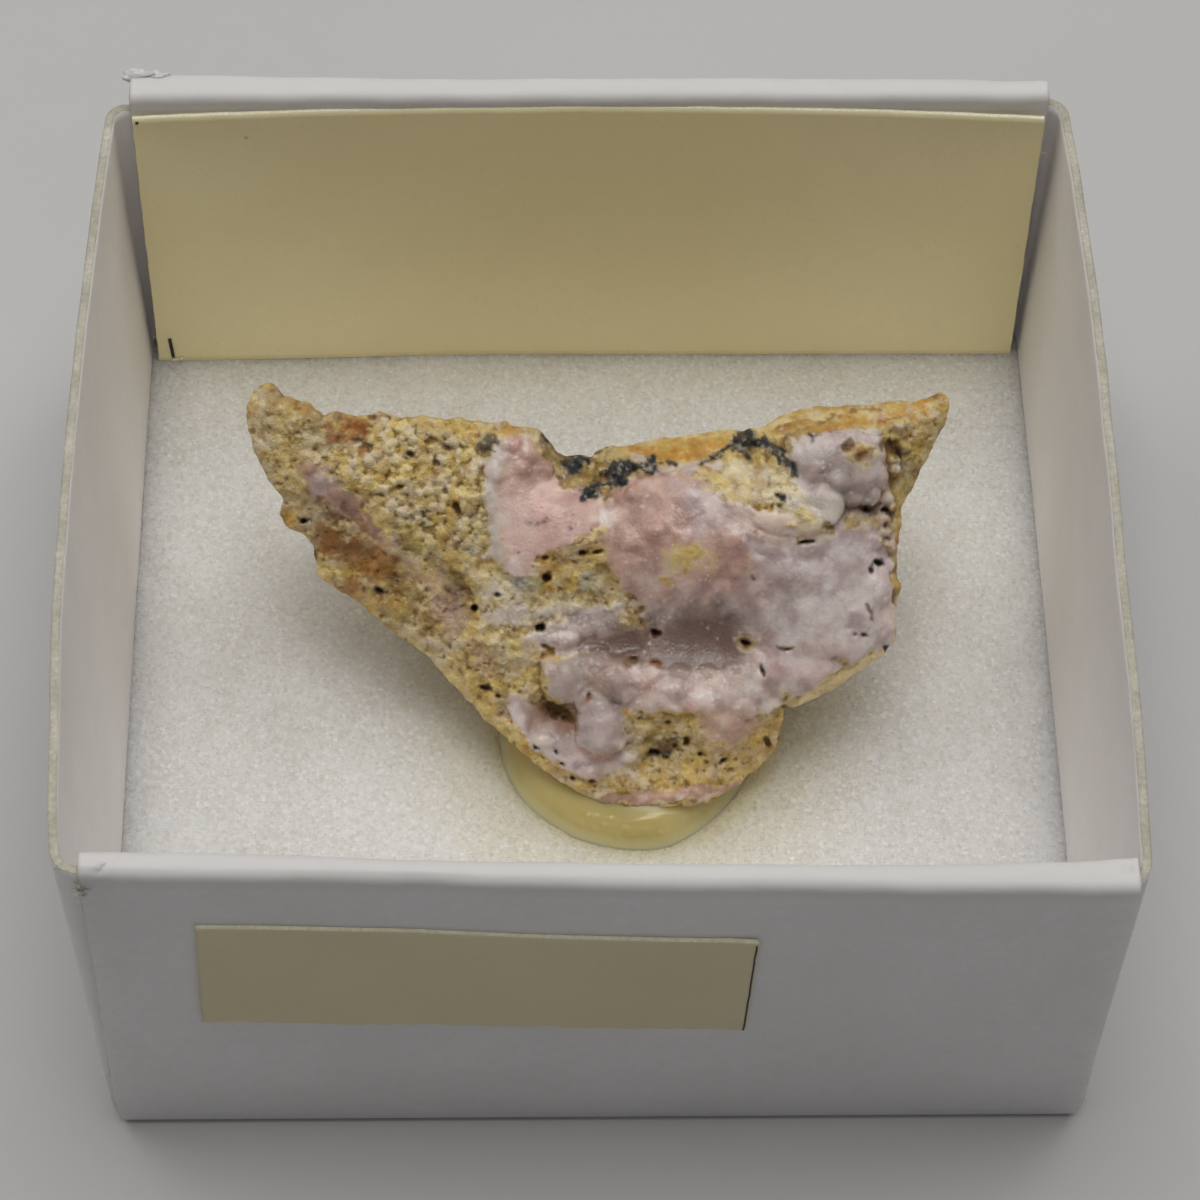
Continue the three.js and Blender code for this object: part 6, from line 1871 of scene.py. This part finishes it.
# Radius and height of its section, from the underside's middle out and over to the top's.
GLUE_SECTION = [
    (0, 2.78), (2.5, 2.78), (4.8, 2.78), (5.75, 2.78), (6.0, 2.81), (5.99, 2.93), (5.90, 3.04), (5.76, 3.16),
    (5.60, 3.34), (5.46, 3.54), (5.30, 3.72), (5.1, 3.88), (4.85, 4.0), (4.6, 4.1), (4.3, 4.2), (3.9, 4.32),
    (3.4, 4.40), (2.4, 4.44), (1.2, 4.44), (0, 4.44),
]
# Blisters and runnels on top: x, y, half length, half width and height.
BLISTERS = [
    (0.0, -7.62, 0.16, 0.09, 0.05), (0.62, -7.72, 0.14, 0.08, 0.05), (2.3, -7.78, 0.55, 0.07, 0.05),
    (3.2, -7.55, 0.60, 0.08, 0.06), (2.0, -8.12, 0.18, 0.08, 0.04), (3.3, -8.0, 0.12, 0.08, 0.04),
    (5.2, -6.55, 0.12, 0.14, 0.04), (-1.9, -6.75, 0.14, 0.10, 0.04), (0.35, -7.95, 0.10, 0.10, 0.10),
    (-0.35, -7.55, 0.09, 0.09, 0.10), (4.1, -7.35, 0.10, 0.10, 0.10), (1.25, -8.1, 0.09, 0.09, 0.10),
    (2.75, -8.2, 0.10, 0.09, 0.10), (4.9, -6.95, 0.08, 0.08, 0.08),
]
# Bubbles in the front side: x, height above the foot, size and swelling.
BUBBLES = [
    (-0.6, 0.62, 0.16, 0.07), (-0.1, 0.60, 0.12, 0.06), (1.5, 0.66, 0.28, 0.05), (2.2, 0.72, 0.22, 0.05),
    (2.9, 0.60, 0.14, 0.07), (3.6, 0.75, 0.12, 0.06), (4.4, 0.9, 0.12, 0.05), (0.9, 0.45, 0.10, 0.05),
]


def add_glue():
    k = np.linspace(0, len(GLUE_SECTION) - 1, 100)
    r = np.interp(k, range(len(GLUE_SECTION)), [p[0] for p in GLUE_SECTION])
    z = np.interp(k, range(len(GLUE_SECTION)), [p[1] for p in GLUE_SECTION])
    around = np.linspace(0, 2 * math.pi, 360, endpoint=False)
    A, R = np.meshgrid(around, r[1:-1], indexing="ij")
    Z = np.meshgrid(around, z[1:-1], indexing="ij")[1]
    c, s = np.cos(A), np.sin(A)
    outer = ramp(R, 3.5, 5.4)
    wobble = 0.06 * noise(c * 1.6, s * 1.6, A * 0, 401) + 0.02 * noise(c * 6, s * 6, Z * 0.8, 402)
    R = R + outer * wobble
    R = R * (1 - (0.03 + 0.10 * ramp(c, 0.1, 0.9)) * outer)
    X, Y = GLUE_X + R * c, GLUE_Y + R * s
    ripple = ramp(R, 3.6, 4.4) * ramp(R, 5.9, 5.3)
    Z = Z + ripple * 0.03 * noise(R / 0.7, np.arctan2(s, c) * 5, Z * 0, 405)
    for px, py, long, wide, rise in BLISTERS:
        dx = X - px
        dy = Y - py - 0.12 * dx
        Z = Z + rise * np.exp(-((dx / long) ** 2) - (dy / wide) ** 2) * (R > 3)
    for px, pz, size, rise in BUBBLES:
        d = np.hypot(X - px, (Z - 2.9 - pz) * 1.2)
        R = R + np.where(s < 0, rise * np.exp(-(d / size) ** 2), 0)
    X, Y = GLUE_X + R * c, GLUE_Y + R * s
    n, q = X.shape
    index = np.arange(n * q).reshape(n, q)
    nxt = np.roll(index, -1, axis=0)
    faces = np.stack([index[:, :-1], nxt[:, :-1], nxt[:, 1:], index[:, 1:]], -1).reshape(-1, 4).tolist()
    low, high = n * q, n * q + 1
    faces += [(low, int(nxt[i, 0]), int(index[i, 0])) for i in range(n)]
    faces += [(high, int(index[i, -1]), int(nxt[i, -1])) for i in range(n)]
    ends = [[GLUE_X, GLUE_Y, z[0]], [GLUE_X, GLUE_Y, z[-1]]]
    verts = np.vstack([np.stack([X, Y, Z], -1).reshape(-1, 3), ends])
    o = make("glue_puck", verts, faces, [glue_material()])
    is_piece_of(o, "glue_puck")


# ---------------------------------------------------------------- light and floor
WARM = (1.0, 0.985, 0.955)


def add_stage():
    m = Nodes("studio_floor")
    tone = m.span(m.noise(12, 4), 0.3, 0.7, 0.55, 0.59)
    m.done(Base_Color=m.add("CombineColor", 0, {0: tone, 1: tone, 2: tone}), Roughness=0.9)
    corners = [(-900, -900, 0), (900, -900, 0), (900, 900, 0), (-900, 900, 0)]
    o = make("floor", corners, [(0, 1, 2, 3)], [m.mat])
    for name, wide, deep, place, aim, power, tint in (
        ("top", 0.20, 0.18, (0.0, 0.004, 0.40), (0, 0, 0), 0.54, WARM),
        ("back", 0.56, 0.22, (-0.01, 0.18, 0.375), (0, 0, 0), 0.42, WARM),
        ("left", 0.24, 0.24, (-0.24, 0.13, 0.29), (0, 0, 0), 0.22, WARM),
        ("right", 0.24, 0.24, (0.24, 0.13, 0.29), (0, 0, 0), 0.21, WARM),
        ("front", 0.40, 0.20, (0.0, -0.20, 0.34), (0, 0, 0), 0.12, (1.0, 0.98, 0.96)),
    ):
        data = bpy.data.lights.new(name, "AREA")
        data.shape = "RECTANGLE"
        data.size, data.size_y = wide, deep
        data.energy = power
        data.color = tint
        lamp = bpy.data.objects.new(name, data)
        bpy.context.scene.collection.objects.link(lamp)
        lamp.location = place
        lamp.rotation_euler = (Vector(aim) - Vector(place)).to_track_quat("-Z", "Y").to_euler()
    world = bpy.data.worlds.new("studio")
    world.use_nodes = True
    world.node_tree.nodes["Background"].inputs["Color"].default_value = (0.9, 0.92, 0.95, 1)
    world.node_tree.nodes["Background"].inputs["Strength"].default_value = 0.03
    bpy.context.scene.world = world
    bpy.context.scene.view_settings.view_transform = "Standard"


add_camera()
add_stage()
add_tray()
add_foam()
add_label_card()
add_number_label()
add_glue()
add_stone()
